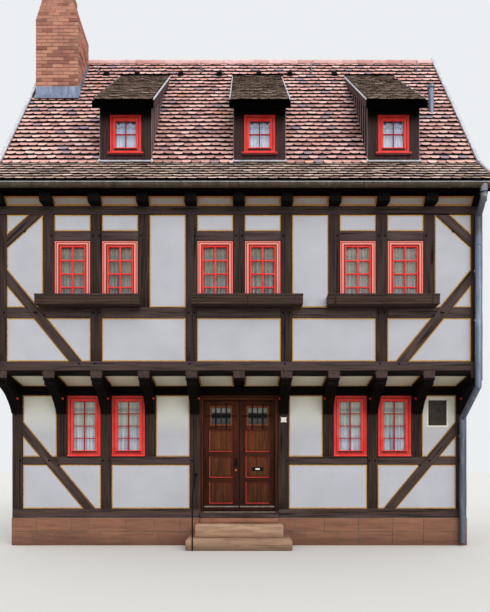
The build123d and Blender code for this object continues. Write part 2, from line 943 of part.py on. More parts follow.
pipe_wall_y = half_depth + pipe_wall_gap + pipe_radius
pipe_low_y = -ground_face + pipe_wall_gap + pipe_radius
outlet_z = gutter_z - gutter_radius - pipe_outlet_drop
pipe_front = (
    (-gutter_y, gutter_z - pipe_radius / 2),
    (-gutter_y, outlet_z),
    (-pipe_wall_y, outlet_z - pipe_neck_drop),
    (-pipe_wall_y, pipe_jetty_high),
    (-pipe_low_y, pipe_jetty_low),
    (-pipe_low_y, pipe_foot),
)
pipe_back = (
    (gutter_y, gutter_z - pipe_radius / 2),
    (gutter_y, outlet_z),
    (pipe_wall_y, outlet_z - pipe_neck_drop),
    (pipe_wall_y, pipe_foot),
)
with BuildPart() as downpipes:
    for x, route in ((pipe_x, pipe_front), (-pipe_x, pipe_back)):
        with BuildLine(Plane.YZ.offset(x)):
            Polyline(*route)
        with BuildSketch(Plane.XY.offset(route[0][1])):
            with Locations((x, route[0][0])):
                Circle(pipe_radius)
        sweep(transition=Transition.RIGHT)
        funnel_low = gutter_z - gutter_radius - funnel_height
        funnel_top = route[0][1]
        with Locations((x, route[0][0], (funnel_low + funnel_top) / 2)):
            Cone(pipe_radius, gutter_radius, funnel_top - funnel_low)
        with Locations((x, route[0][0], funnel_low)):
            Cylinder(pipe_radius + funnel_lip, funnel_rim)
    for side in (-1, 1):
        with Locations(Location((side * -pipe_x, side * gutter_y, gutter_z), (0, 90, 0))):
            Cylinder(gutter_radius + curtain_gap, 4 * pipe_radius, mode=Mode.SUBTRACT)
    for level in clip_levels:
        for x, side in ((pipe_x, -1), (-pipe_x, 1)):
            on_ground_storey = side < 0 and level < pipe_jetty_low
            face = ground_face if on_ground_storey else side * half_depth
            centre = -pipe_low_y if on_ground_storey else side * pipe_wall_y
            y0, y1 = min(face, centre), max(face, centre)
            half, low = clip_width / 2, level - clip_height / 2
            block(x - half, x + half, y0, y1, low, low + clip_height)
            with Locations((x, centre, level)):
                Cylinder(pipe_radius + clip_lip, clip_height)

with BuildPart() as vent_pipe:
    vent_base = roof_top(vent_y)
    with Locations((vent_x, vent_y, vent_base)):
        Cylinder(vent_radius, 2 * vent_height)
    with Locations((vent_x, vent_y, vent_base + vent_height)):
        Cylinder(vent_cap_radius, vent_cap_height)
    slope_plane = Plane(
        origin=(0, -kink_y, kink_z),
        x_dir=(1, 0, 0),
        z_dir=(0, -sin(radians(main_pitch)), cos(radians(main_pitch))),
    )
    split(bisect_by=slope_plane, keep=Keep.TOP)

# Entrance door: frame, hinges, two leaves that open inwards and their furniture
jamb_front = ground_face + door_frame_setback
leaf_back = jamb_front + door_frame_depth
leaf_front = leaf_back - leaf_thickness
opening = door_half - door_jamb
leaf_edge = opening - leaf_clearance
leaf_low = door_sill_top + leaf_bottom_clearance
leaf_high = ground_high - door_head_height - leaf_top_clearance
hinge_x = leaf_edge + hinge_reach
hinge_y = leaf_back + hinge_offset

with BuildPart() as door_jambs:
    for x0, x1 in ((-door_half, -opening), (opening, door_half)):
        block(x0, x1, jamb_front, leaf_back, door_sill_top, ground_high)

with BuildPart() as door_head:
    low = ground_high - door_head_height
    block(-opening, opening, jamb_front, leaf_back, low, ground_high)

with BuildPart() as door_hinges:
    for side in (-1, 1):
        for rise in hinge_rises:
            low = leaf_low + rise
            with Locations((side * hinge_x, hinge_y, low + knuckle_height / 2)):
                Cylinder(knuckle_radius, knuckle_height)
            with Locations((side * hinge_x, hinge_y, low + knuckle_height)):
                Cylinder(pin_radius, 2 * knuckle_height)
            ends = sorted((side * opening, side * (opening + door_jamb)))
            block(*ends, leaf_back, leaf_back + strap_thickness, low, low + knuckle_height)


def door_leaf(side):
    """A panelled leaf with an opening for its light and its halves of the hinges."""
    edges = sorted((side * meeting_gap / 2, side * leaf_edge))
    block(*edges, leaf_front, leaf_back, leaf_low, leaf_high)
    sides = sorted((side * panel_side, side * (leaf_edge - panel_hinge_side)))
    for row in range(panel_rows):
        low = leaf_low + panel_base + row * (panel_height + panel_gap)
        high = low + panel_height
        front = (leaf_front, leaf_front + panel_recess)
        back = (leaf_back - panel_back_recess, leaf_back)
        block(*sides, *front, low, high, mode=Mode.SUBTRACT)
        block(*sides, *back, low, high, mode=Mode.SUBTRACT)
        with BuildSketch(Plane.XZ.offset(-front[1])) as field:
            border = panel_border
            area(sides[0] + border, sides[1] - border, low + border, high - border)
        extrude(field.sketch, amount=panel_field, taper=40)
    light = sorted((side * (light_centre - light_width / 2), side * (light_centre + light_width / 2)))
    low = leaf_low + light_rise
    block(*light, leaf_front, leaf_back, low, low + light_height, mode=Mode.SUBTRACT)
    bar_left = side * light_centre - light_bar / 2
    bar_front = leaf_front + light_bar_setback
    bar_back = leaf_front + (leaf_thickness - glass_thickness) / 2
    block(bar_left, bar_left + light_bar, bar_front, bar_back, low, low + light_height)
    board = (
        (leaf_front, leaf_low),
        (leaf_front, leaf_low + weather_board_height),
        (leaf_front - weather_board_front, leaf_low + weather_board_top),
        (leaf_front - weather_board_front, leaf_low),
    )
    profile(board, *edges)
    for rise in hinge_rises:
        low = leaf_low + rise + knuckle_height + knuckle_gap
        high = low + knuckle_height
        strap = sorted((side * leaf_edge, side * (leaf_edge - strap_length)))
        block(*strap, leaf_back, leaf_back + strap_thickness, low, high)
        with Locations((side * hinge_x, hinge_y, low + knuckle_height / 2)):
            Cylinder(knuckle_radius, knuckle_height)
            Cylinder(pin_radius + pin_clearance, knuckle_height, mode=Mode.SUBTRACT)


def door_light(side):
    """The glass of a leaf's light."""
    light = sorted((side * (light_centre - light_width / 2), side * (light_centre + light_width / 2)))
    middle = (leaf_front + leaf_back) / 2
    front, back = middle - glass_thickness / 2, middle + glass_thickness / 2
    low = leaf_low + light_rise
    block(*light, front, back, low, low + light_height)


def door_grille(side):
    """Two upright bars and one across in front of a leaf's light, tapered to their ends."""
    half, tip = grille_bar_width / 2, grille_tip_width / 2
    middle = (side * light_centre, leaf_low + light_rise + light_height / 2)
    with BuildSketch(Plane.XZ.offset(-leaf_front)) as bars:
        for shift in (-grille_spacing / 2, grille_spacing / 2):
            end = grille_upright / 2
            upright = ((-tip, -end), (tip, -end), (half, 0), (tip, end), (-tip, end), (-half, 0))
            with Locations((middle[0] + shift, middle[1])):
                Polygon(*upright, align=None)
        end = grille_cross / 2
        cross = ((-end, -tip), (0, -half), (end, -tip), (end, tip), (0, half), (-end, tip))
        with Locations(middle):
            Polygon(*cross, align=None)
    extrude(bars.sketch, amount=grille_thickness)


with BuildPart() as left_door_leaf:
    door_leaf(-1)

with BuildPart() as right_door_leaf:
    door_leaf(1)

with BuildPart() as left_door_glass:
    door_light(-1)

with BuildPart() as right_door_glass:
    door_light(1)

with BuildPart() as left_door_grille:
    door_grille(-1)

with BuildPart() as right_door_grille:
    door_grille(1)

with BuildPart() as door_handle:
    handle_x = -meeting_gap / 2 - handle_inset
    half_width, half_height = handle_plate_width / 2, handle_plate_height / 2
    handle_z = leaf_low + handle_rise
    plate_front = leaf_front - handle_plate_thickness
    block(
        handle_x - half_width,
        handle_x + half_width,
        plate_front,
        leaf_front,
        handle_z - half_height,
        handle_z + half_height,
    )
    knob_front = plate_front - knob_reach
    knob_back = knob_front + knob_length
    turned = (
        (0, plate_front),
        (knob_neck, plate_front),
        (knob_neck, knob_back),
        (knob_radius, knob_back - knob_length / 3),
        (knob_radius, knob_front + knob_length / 3),
        (knob_face, knob_front),
        (0, knob_front),
    )
    with BuildSketch(Plane.XY.offset(handle_z)):
        with Locations((handle_x, 0)):
            Polygon(*turned, align=None)
    revolve(axis=Axis((handle_x, 0, handle_z), (0, 1, 0)))

with BuildPart() as letter_plate:
    half_width = letter_width / 2
    letter_z = leaf_low + letter_rise
    field_front = leaf_front + panel_recess - panel_field
    front = field_front - letter_thickness
    middle = (panel_side + leaf_edge - panel_hinge_side) / 2
    block(
        middle - half_width,
        middle + half_width,
        front,
        field_front,
        letter_z - letter_height / 2,
        letter_z + letter_height / 2,
    )
    block(
        middle - half_width + letter_slot,
        middle + half_width - letter_slot,
        front,
        front + letter_thickness / 2,
        letter_z - letter_height / 2 + letter_slot,
        letter_z + letter_height / 2 - letter_slot,
        mode=Mode.SUBTRACT,
    )

with BuildPart() as handrail:
    post_y = ground_face - lower_step_front - rail_radius - curtain_gap
    with BuildLine(Plane.YZ.offset(rail_x)):
        FilletPolyline(
            (post_y, 0),
            (post_y, rail_height),
            (ground_face, rail_end_height),
            radius=rail_bend,
        )
    with BuildSketch():
        with Locations((rail_x, post_y)):
            Circle(rail_radius)
    sweep()
    with Locations(Location((rail_x, ground_face - rail_rose_depth / 2, rail_end_height), (90, 0, 0))):
        Cylinder(rail_rose_radius, rail_rose_depth)
    block(
        rail_x - rail_rose_radius,
        rail_x + rail_rose_radius,
        ground_face,
        ground_face + rail_rose_radius,
        rail_end_height - 2 * rail_rose_radius,
        rail_end_height + 2 * rail_rose_radius,
        mode=Mode.SUBTRACT,
    )

with BuildPart() as plaque:
    plaque_face = ground_face + infill_recess
    plaque_z = ground_low + plaque_rise
    block(
        plaque_x - plaque_width / 2,
        plaque_x + plaque_width / 2,
        plaque_face - plaque_thickness,
        plaque_face,
        plaque_z,
        plaque_z + plaque_height,
    )

pieces = {
    "plinth": plinth,
    "lower_step": lower_step,
    "upper_step": upper_step,
    "threshold_stone": threshold_stone,
    "door_sill": door_sill,
    "ground_plates": ground_plates,
    "ground_posts": ground_posts,
    "ground_rails": ground_rails,
    "ground_braces": ground_braces,
    "ground_infill": ground_infill,
    "ground_window_frames": ground_window_frames,
    "floor_joists": floor_joists,
    "jetty_brackets": jetty_brackets,
    "coving": coving,
    "joist_fillers": joist_fillers,
    "upper_plates": upper_plates,
    "upper_posts": upper_posts,
    "upper_rails": upper_rails,
    "upper_braces": upper_braces,
    "upper_infill": upper_infill,
    "upper_window_frames": upper_window_frames,
    "window_glass": window_glass,
    "net_curtains": net_curtains,
    "flower_boxes": flower_boxes,
    "ground_floor": ground_floor,
    "upper_floor": upper_floor,
    "attic_floor": attic_floor,
    "ground_party_walls": ground_party_walls,
    "upper_party_walls": upper_party_walls,
    "gables": gables,
    "roof_eaves": roof_eaves,
    "roof_front_strips": roof_front_strips,
    "roof_front_top": roof_front_top,
    "roof_back": roof_back,
    "ridge_tiles": ridge_tiles,
    "verge_boards": verge_boards,
    "dormer_fronts": dormer_fronts,
    "dormer_cheeks": dormer_cheeks,
    "dormer_roofs": dormer_roofs,
    "dormer_windows": dormer_windows,
    "dormer_glass": dormer_glass,
    "chimney": chimney,
    "gutters": gutters,
    "downpipes": downpipes,
    "vent_pipe": vent_pipe,
    "door_jambs": door_jambs,
    "door_head": door_head,
    "door_hinges": door_hinges,
    "left_door_leaf": left_door_leaf,
    "right_door_leaf": right_door_leaf,
    "left_door_glass": left_door_glass,
    "right_door_glass": right_door_glass,
    "left_door_grille": left_door_grille,
    "right_door_grille": right_door_grille,
    "door_handle": door_handle,
    "letter_plate": letter_plate,
    "handrail": handrail,
    "plaque": plaque,
}
os.makedirs("parts", exist_ok=True)
for name, piece in pieces.items():
    piece.part.label = name
    export_step(piece.part, f"parts/{name}.step")
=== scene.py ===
import math
import random

import bmesh
import bpy
import numpy as np
from bpy.props import FloatProperty, FloatVectorProperty, IntProperty, PointerProperty
from mathutils import Matrix, Vector


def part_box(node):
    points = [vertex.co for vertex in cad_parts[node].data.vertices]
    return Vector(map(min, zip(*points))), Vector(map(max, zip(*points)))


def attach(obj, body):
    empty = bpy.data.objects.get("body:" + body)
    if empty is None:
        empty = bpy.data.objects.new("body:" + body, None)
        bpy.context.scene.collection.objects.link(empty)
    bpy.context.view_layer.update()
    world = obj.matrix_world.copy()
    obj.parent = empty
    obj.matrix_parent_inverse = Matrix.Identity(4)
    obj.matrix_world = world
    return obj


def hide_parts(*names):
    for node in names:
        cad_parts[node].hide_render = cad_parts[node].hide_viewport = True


bl_info = {
    "name": "Half timbered house",
    "version": (1, 0, 0),
    "blender": (4, 5, 0),
    "location": "View3D > Sidebar > House",
    "description": "Dresses a half timbered house: timber, plaster, tiles, windows and door",
    "category": "Object",
}

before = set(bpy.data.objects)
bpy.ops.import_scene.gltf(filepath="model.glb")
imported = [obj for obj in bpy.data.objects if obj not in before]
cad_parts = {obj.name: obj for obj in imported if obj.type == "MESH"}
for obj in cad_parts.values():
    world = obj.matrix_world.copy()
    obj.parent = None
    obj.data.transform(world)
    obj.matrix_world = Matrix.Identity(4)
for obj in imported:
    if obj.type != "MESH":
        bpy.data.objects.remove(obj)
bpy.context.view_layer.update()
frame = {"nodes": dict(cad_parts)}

# Bodies that the pieces ride on
house = "house"
left_door = "left_door"
right_door = "right_door"

# The photograph, its vanishing point in pixels, and where its camera stands
photo_width, photo_height = 490, 612
vanish_column, vanish_row = 245, 465
focal_pixels = 572
eye = Vector((0.111, -13.556, 1.574))


def srgb(red, green, blue):
    """A colour as a screen shows it, 0 to 255, in the linear values that the shaders use."""
    return tuple(((c / 255 + 0.055) / 1.055) ** 2.4 for c in (red, green, blue))


def times(colour, factor, lift=0.0):
    """A colour made darker or brighter."""
    return [min(1, c * factor + lift) for c in colour]


def between(first, second, share):
    """A colour between two others."""
    return [a + (b - a) * share for a, b in zip(first, second)]


def colour_setting(label, meaning, *default):
    """A colour that a user may change."""
    return FloatVectorProperty(
        name=label, description=meaning, default=srgb(*default), subtype="COLOR", min=0, max=1
    )


def length_setting(label, meaning, default):
    """A length that a user may change, in metres."""
    return FloatProperty(name=label, description=meaning, default=default, unit="LENGTH", min=0)


def count_setting(label, meaning, default):
    """A number of pieces that a user may change."""
    return IntProperty(name=label, description=meaning, default=default, min=1)


class HouseColours(bpy.types.PropertyGroup):
    """Colours of the house's finishes"""

    timber: colour_setting("Timber", "Stained oak of the frame", 68, 52, 49)
    timber_dark: colour_setting("Timber, dark", "Grain and cracks in the oak", 24, 17, 15)
    # Near-black timber: painted shade below the jetty and the eaves
    sheltered: colour_setting("Timber, sheltered", "Oak below the jetty and the eaves", 14, 10, 8)
    plaster: colour_setting("Plaster", "Limewashed panels", 190, 191, 201)
    ochre: colour_setting("Ochre", "Painted line along the timbers", 198, 154, 86)
    red: colour_setting("Red", "Window paint", 240, 46, 40)
    red_faded: colour_setting("Red, faded", "Weathered window paint", 246, 140, 130)
    tile: colour_setting("Tile", "Common roof tile", 246, 186, 176)
    tile_pale: colour_setting("Tile, pale", "Palest roof tile", 249, 212, 202)
    tile_dark: colour_setting("Tile, dark", "Darkest roof tile", 184, 134, 128)
    tile_grey: colour_setting("Tile, grey", "Grey and blue roof tiles", 160, 148, 168)
    moss: colour_setting("Moss", "Moss and soot on tiles", 74, 62, 46)
    board: colour_setting("Board", "Boards of the dormers", 92, 72, 74)
    zinc: colour_setting("Zinc", "Downpipes and flashings", 118, 130, 150)
    gutter: colour_setting("Gutter", "Weathered gutter", 84, 74, 64)
    sandstone: colour_setting("Sandstone", "Stones of the plinth", 150, 104, 84)
    step_stone: colour_setting("Step stone", "Stone of the steps", 176, 142, 118)
    brick: colour_setting("Brick", "Bricks of the chimney", 178, 122, 106)
    render: colour_setting("Render", "Plain party walls", 192, 186, 176)
    door: colour_setting("Door", "Oiled wood of the door", 112, 62, 38)
    door_trim: colour_setting("Door trim", "Paler beads round the door's lights", 134, 76, 52)


class HouseSizes(bpy.types.PropertyGroup):
    """Sizes of the small pieces that dress the house"""

    tile_width: length_setting("Tile width", "Width that each roof tile takes", 0.18)
    tile_course: length_setting("Tile course", "Part of each tile that shows", 0.1644)
    tile_length: length_setting("Tile length", "Length of a roof tile", 0.3)
    tile_thickness: length_setting("Tile thickness", "Thickness of a roof tile", 0.03)
    ridge_length: length_setting("Ridge tile", "Length that each ridge tile takes", 0.35)
    ochre_line: length_setting("Ochre line", "Width of the painted line round a panel", 0.02)
    chamfer: length_setting("Chamfer", "Worn edge of the timbers", 0.007)
    timber_wave: length_setting("Timber wave", "Unevenness of the hewn timbers", 0.012)
    bar_width: length_setting("Glazing bar", "Width of the bars between the panes", 0.02)
    upper_bar_width: length_setting("Upper glazing bar", "Width of the bars upstairs", 0.03)
    frame: length_setting("Window frame", "Width of a window's outer frame", 0.064)
    upper_frame: length_setting("Upper frame", "Width of the moulded frames upstairs", 0.09)
    casement: length_setting("Casement", "Width of a casement's members", 0.056)
    upper_casement: length_setting("Upper casement", "Width of a casement's members upstairs", 0.03)
    dormer_casement: length_setting("Dormer casement", "Width of a dormer casement's members", 0.046)
    brick_length: length_setting("Brick length", "Length of a chimney brick", 0.24)
    brick_height: length_setting("Brick height", "Height of a brick with its joint", 0.077)
    joint: length_setting("Joint", "Joint between bricks or stones", 0.011)
    stone_height: length_setting("Stone height", "Height of a course of the plinth", 0.27)
    pane_rows: count_setting("Pane rows", "Rows of panes in a window", 4)
    dormer_rows: count_setting("Dormer rows", "Rows of panes in a dormer", 2)


def colours():
    """The colour settings."""
    return bpy.context.scene.house_colours


def sizes():
    """The size settings."""
    return bpy.context.scene.house_sizes


class Finish:
    """One procedural material. Its calls add nodes and give back their outputs."""

    def __init__(self, name, roughness=0.7, specular=0.4):
        self.material = bpy.data.materials.new(name)
        self.material.use_nodes = True
        self.tree = self.material.node_tree
        self.shader = self.tree.nodes["Principled BSDF"]
        self.set(**{"Roughness": roughness, "Specular IOR Level": specular})
        self.place = self.add("ShaderNodeTexCoord").outputs["Object"]
        self.normal = None

    def add(self, kind, values=(), **settings):
        """A new node with its settings, and its inputs by name or number linked or set."""
        node = self.tree.nodes.new(kind)
        for key, value in settings.items():
            setattr(node, key, value)
        for key, value in dict(values).items():
            self.join(value, node.inputs[key])
        return node

    def join(self, value, socket):
        """Link an output, or set a plain value, vector or colour."""
        if isinstance(value, bpy.types.NodeSocket):
            self.tree.links.new(value, socket)
        elif isinstance(value, (int, float)):
            socket.default_value = value
        else:
            socket.default_value = (*value[:3], 1) if len(socket.default_value) == 4 else value

    def set(self, **values):
        """Set or link some of the shader's sockets."""
        for name, value in values.items():
            self.join(value, self.shader.inputs[name])
        return self

    def colour(self, value):
        """Set or link the colour."""
        return self.set(**{"Base Color": value})

    def attribute(self, name):
        """A vector that the mesh carries."""
        return self.add("ShaderNodeAttribute", attribute_name=name).outputs["Vector"]

    def part(self, vector, axis):
        """One number of a vector."""
        return self.add("ShaderNodeSeparateXYZ", {0: vector}).outputs[axis]

    def tone(self, axis=0):
        """One of the three random numbers that each loose part has."""
        return self.part(self.attribute("tone"), axis)

    def height(self, foot=0.0, span=10.0):
        """Height over the ground as a share of a span."""
        return self.maths("DIVIDE", self.maths("SUBTRACT", self.part(self.place, 2), foot), span)

    def noise(self, scale, detail=3, roughness=0.55, distortion=0, on=None):
        """Cloudy noise. A scale of three numbers stretches it."""
        vector = self.place if on is None else on
        if isinstance(scale, tuple):
            vector = self.add("ShaderNodeMapping", {"Vector": vector, "Scale": scale}).outputs[0]
            scale = 1
        values = {"Vector": vector, "Scale": scale, "Detail": detail, "Roughness": roughness}
        return self.add("ShaderNodeTexNoise", values | {"Distortion": distortion}).outputs["Fac"]

    def cells(self, scale):
        """Distances to scattered points."""
        values = {"Vector": self.place, "Scale": scale}
        return self.add("ShaderNodeTexVoronoi", values).outputs["Distance"]

    def ramp(self, factor, *stops):
        """Colours along a factor, each at its place."""
        node = self.add("ShaderNodeValToRGB", {0: factor})
        elements = node.color_ramp.elements
        while len(elements) < len(stops):
            elements.new(0.5)
        for element, (position, colour) in zip(elements, stops):
            element.position = position
            element.color = (*colour[:3], 1) if hasattr(colour, "__len__") else (colour,) * 3 + (1,)
        return node.outputs[0]

    def shades(self, factor, *stops):
        """A ramp whose colours are given as a screen shows them."""
        return self.ramp(factor, *((at, srgb(*colour)) for at, *colour in stops))

    def mix(self, factor, first, second, blend="MIX"):
        """Two colours mixed."""
        values = {0: factor, 6: first, 7: second}
        return self.add("ShaderNodeMix", values, data_type="RGBA", blend_type=blend).outputs[2]

    def over(self, base, colour, mask, *stops):
        """A colour laid over another where a mask, read through a ramp, says so."""
        return self.mix(self.ramp(mask, *stops), base, colour)

    def tint(self, base, factor, *stops):
        """A colour multiplied by a ramp along a factor."""
        return self.mix(1.0, base, self.ramp(factor, *stops), "MULTIPLY")

    def maths(self, operation, first, second=0.0):
        """Two numbers combined."""
        return self.add("ShaderNodeMath", {0: first, 1: second}, operation=operation).outputs[0]

    def bump(self, height, depth, strength=1):
        """Relief from a height, on top of what is there."""
        values = {"Height": height, "Distance": depth, "Strength": strength}
        if self.normal is not None:
            values["Normal"] = self.normal
        self.normal = self.add("ShaderNodeBump", values).outputs[0]
        return self.set(Normal=self.normal)


def wood(name, light, dark, roughness=0.72, shine=0.2):
    """Weathered wood whose grain runs along each member."""
    f = Finish(name, roughness, shine)
    grain = f.attribute("own")
    streaks = f.noise((1.3, 26, 26), 6, 0.62, 0.4, on=grain)
    cracks = f.ramp(f.noise((0.9, 42, 42), 2, 0.5, 0.2, on=grain), (0.62, 0.0), (0.68, 1.0))
    base = f.ramp(streaks, (0.36, dark), (0.5, light), (0.7, times(light, 1.8, 0.006)))
    base = f.over(base, times(light, 0.62), f.noise(1.7, 4, 0.6, on=grain), (0.35, 0.0), (0.75, 0.5))
    base = f.mix(f.maths("MULTIPLY", f.tone(), 0.45), base, times(light, 1.35, 0.006))
    f.colour(f.mix(cracks, base, times(dark, 0.25)))
    f.bump(f.noise((5, 120, 120), 3, 0.6, on=grain), 0.002, 0.5)
    return f.bump(streaks, 0.006, 0.6).bump(f.maths("SUBTRACT", 1.0, cracks), 0.006, 0.8)


def plain_wood(name, light, dark, across=False, shade=None, fade=False, shine=0.08):
    """Wood for solids whose grain runs one way; it may take painted shade that turns it near black
    above one height, and a darker, bluer tint towards the ground.
    """
    f = Finish(name, 0.65, shine)
    streaks = f.noise((1.4, 26, 26) if across else (26, 26, 1.4), 6, 0.62, 0.4)
    pores = f.noise((6, 110, 110) if across else (110, 110, 6), 3, 0.6)
    base = f.ramp(streaks, (0.3, dark), (0.55, light), (0.8, times(light, 1.4)))
    base = f.over(base, times(dark, 0.6), pores, (0.35, 0.45), (0.55, 0.0))
    # Painted shade: near black above the height given
    if shade:
        base = f.over(base, srgb(3, 2, 2), f.height(shade, 0.2), (0.0, 0.0), (0.7, 0.95))
    if fade:
        # Darker and bluer towards the ground, up to 2.4 m
        lower_tint = (0.15, (0.42, 0.44, 0.5)), (0.38, (0.7, 0.7, 0.74)), (0.6, 1)
        base = f.tint(base, f.height(0, 4), *lower_tint)
    return f.colour(base).bump(streaks, 0.004, 0.5).bump(pores, 0.001, 0.5)


def plaster():
    """Limewashed plaster, faintly clouded and trowelled, with painted light that makes it paler and
    warmer below the jetty at the front, and painted shade that makes it darker and warmer below the
    eaves.
    """
    f = Finish("Plaster", 0.88, 0.25)
    white, specks, height = colours().plaster, f.noise(46, 4, 0.7), f.height()
    clouds = (0.3, times(white, 0.9)), (0.62, white), (0.85, times(white, 1.05))
    base = f.ramp(f.noise(1.6, 5, 0.6), *clouds)
    base = f.over(base, srgb(150, 146, 140), specks, (0.66, 0.0), (0.8, 0.35))
    # Painted light: paler, warmer plaster from 2.15 m to 3.4 m on the front, below the jetty
    painted_light_under_jetty = f.ramp(height, (0.215, 0.0), (0.29, 1.0), (0.33, 1.0), (0.34, 0.0))
    front = f.ramp(f.part(f.place, 1), (0.0, 1.0), (0.1, 0.0))
    base = f.mix(f.maths("MULTIPLY", painted_light_under_jetty, front), base, srgb(240, 240, 224))
    # Painted shade: darker, warmer plaster above 6.28 m, below the eaves
    f.colour(f.tint(base, height, (0.628, 1), (0.634, (0.72, 0.62, 0.5))))
    return f.bump(f.noise((5, 5, 9), 4, 0.55, 0.6), 0.006, 0.5).bump(specks, 0.0015, 0.5)


def ochre():
    """Ochre line, painted by hand along the edge of each panel, with painted shade that makes it
    browner below the eaves.
    """
    f = Finish("Ochre line", 0.85, 0.25)
    line, worn = colours().ochre, f.noise(24, 4, 0.65)
    base = f.ramp(worn, (0.3, times(line, 0.6)), (0.55, line), (0.8, srgb(206, 182, 130)))
    # Painted shade: browner and darker above 6.28 m, below the eaves
    brown = (0.628, 1), (0.632, (0.86, 0.66, 0.62)), (0.642, (0.6, 0.42, 0.3))
    return f.colour(f.tint(base, f.height(), *brown)).bump(worn, 0.001, 0.4)


def speckled(name, roughness, specular, noise, stops, relief, metallic=0.0):
    """A finish from one noise, which gives both its colours and its relief."""
    f = Finish(name, roughness, specular).set(Metallic=metallic)
    grains = f.noise(*noise)
    return f.colour(f.shades(grains, *stops)).bump(grains, *relief)


def paint(name, colour, pale):
    """Oil paint on wood, chalky here and flaked there, with the brush's marks along it."""
    f = Finish(name, 0.55, 0.22)
    fibre = f.noise((90, 90, 9), 3, 0.6)
    base = f.ramp(f.noise(5, 4, 0.6), (0.35, colour), (0.8, between(colour, pale, 0.35)))
    base = f.over(base, times(colour, 0.7), fibre, (0.3, 0.25), (0.6, 0.0))
    base = f.over(base, times(colour, 0.45), f.noise(38, 5, 0.7), (0.7, 0.0), (0.76, 0.55))
    return f.colour(base).bump(fibre, 0.0008, 0.5)


def glass(name, clear, alpha=1.0, roughness=0.03, specular=0.5, ripples=(6, 0.004, 0.35)):
    """Old glass, slightly wavy, that lets some of the light straight through."""
    f = Finish(name, roughness, specular)
    scale, depth, strength = ripples
    f.set(**{"Transmission Weight": clear, "IOR": 1.45, "Alpha": alpha})
    return f.bump(f.noise(scale, 2, 0.4), depth, strength)


def sky_glass():
    """Glass of the dormers, with a painted reflection of the blue sky that grows towards the top."""
    f = glass("Dormer glass", 0.8, 0.22)
    # Painted reflection: paler low down, blue higher up
    return f.colour(f.shades(f.height(7.6, 2 / 3), (0.35, 206, 220, 226), (0.6, 176, 206, 246)))


def door_glass():
    """Clouded glass of the door's lights, with painted reflections in bands: grey below, black in its
    middle and pale at the top.
    """
    f = glass("Door glass", 0.1, 1.0, 0.12, 0.15, (60, 0.003, 0.5))
    clouds = f.maths("MULTIPLY", f.noise((3, 1, 9), 3, 0.6), 0.06)
    # Painted reflection in bands up the light
    low = (0.0, 62, 68, 68), (0.34, 78, 86, 86), (0.42, 4, 5, 5)
    high = (0.68, 6, 6, 6), (0.76, 140, 146, 138)
    return f.colour(f.shades(f.maths("ADD", f.height(2.384, 0.32), clouds), *low, *high))


def net():
    """Fine white net of the curtains: bluish in the attic, greyer upstairs, with a darker hem."""
    f = Finish("Curtain net", 0.9, 0.2)
    threads, up, storey = f.attribute("own"), f.tone(), f.height()
    folds = f.noise((14, 1, 0.6), 3, 0.6, on=threads)
    cloth = f.shades(up, (0.3, 226, 226, 238), (0.62, 208, 214, 204), (0.95, 216, 216, 200))
    pick = f.maths("MULTIPLY", f.maths("FRACT", f.maths("MULTIPLY", f.tone(2), 0.41)), 0.5)
    # Painted shade in the folds: bluish grey in their hollows
    deep = f.maths("MULTIPLY", f.ramp(folds, (0.38, 1.0), (0.56, 0.0)), f.maths("ADD", 0.4, pick))
    cloth = f.mix(deep, cloth, f.shades(up, (0.45, 96, 116, 146), (0.6, 136, 142, 140)))
    dim = (0.54, 0.49, 0.43)
    cloth = f.tint(cloth, storey, (0.4, 1), (0.44, dim), (0.7, dim), (0.72, 1))
    cloth = f.over(cloth, srgb(218, 232, 255), storey, (0.7, 0.0), (0.72, 0.8))
    hem = f.maths("ABSOLUTE", f.maths("SUBTRACT", up, 0.85))
    f.colour(f.over(cloth, srgb(104, 122, 136), hem, (0.015, 0.5), (0.05, 0.0)))
    weave = f.noise((900, 1, 900), 2, 0.5, on=threads)
    return f.set(**{"Sheen Weight": 0.3}).bump(weave, 0.0006, 0.5)


def tile_clay(name, mossy, *bases):
    """Clay roof tiles: each with its own colour, worn, spotted with lichen and darkened by moss, with a
    painted shadow where the row above laps over them.
    """
    f = Finish(name, 0.85, 0.25)
    moss, spots = colours().moss, f.noise(17, 5, 0.7)
    base = f.ramp(f.tone(), *bases)
    base = f.mix(f.maths("MULTIPLY", f.tone(1), 0.35), base, times(colours().tile, 0.55))
    base = f.over(base, moss, spots, (0.52, 0.0), (0.72, 0.55))
    base = f.over(base, srgb(170, 168, 150), f.cells(22), (0.08, 0.5), (0.2, 0.0))
    # Painted shadow: near black on the part of each tile just below the lower edge of the row above
    shadow_under_next_row = f.maths("MULTIPLY", f.part(f.attribute("own"), 1), 5)
    base = f.over(base, srgb(6, 4, 4), shadow_under_next_row, (0.5, 0.0), (0.7, 1.0))
    stain = f.noise(1.1, 5, 0.65)
    base = f.over(base, moss, stain, (0.72 - mossy, 0.0), (0.98 - mossy * 0.8, 0.85))
    return f.colour(base).bump(spots, 0.006, 0.6).bump(f.noise(70, 3, 0.6), 0.002, 0.6)


def roof_clay():
    """Salmon and red tiles of the main roof."""
    c = colours()
    dark = (0.0, c.tile_grey), (0.12, c.tile_dark), (0.3, between(c.tile, c.tile_dark, 0.4))
    pale = (0.5, c.tile), (0.8, between(c.tile, c.tile_pale, 0.6)), (0.92, c.tile_pale)
    return tile_clay("Roof clay", 0.12, *dark, *pale, (1.0, srgb(226, 146, 110)))


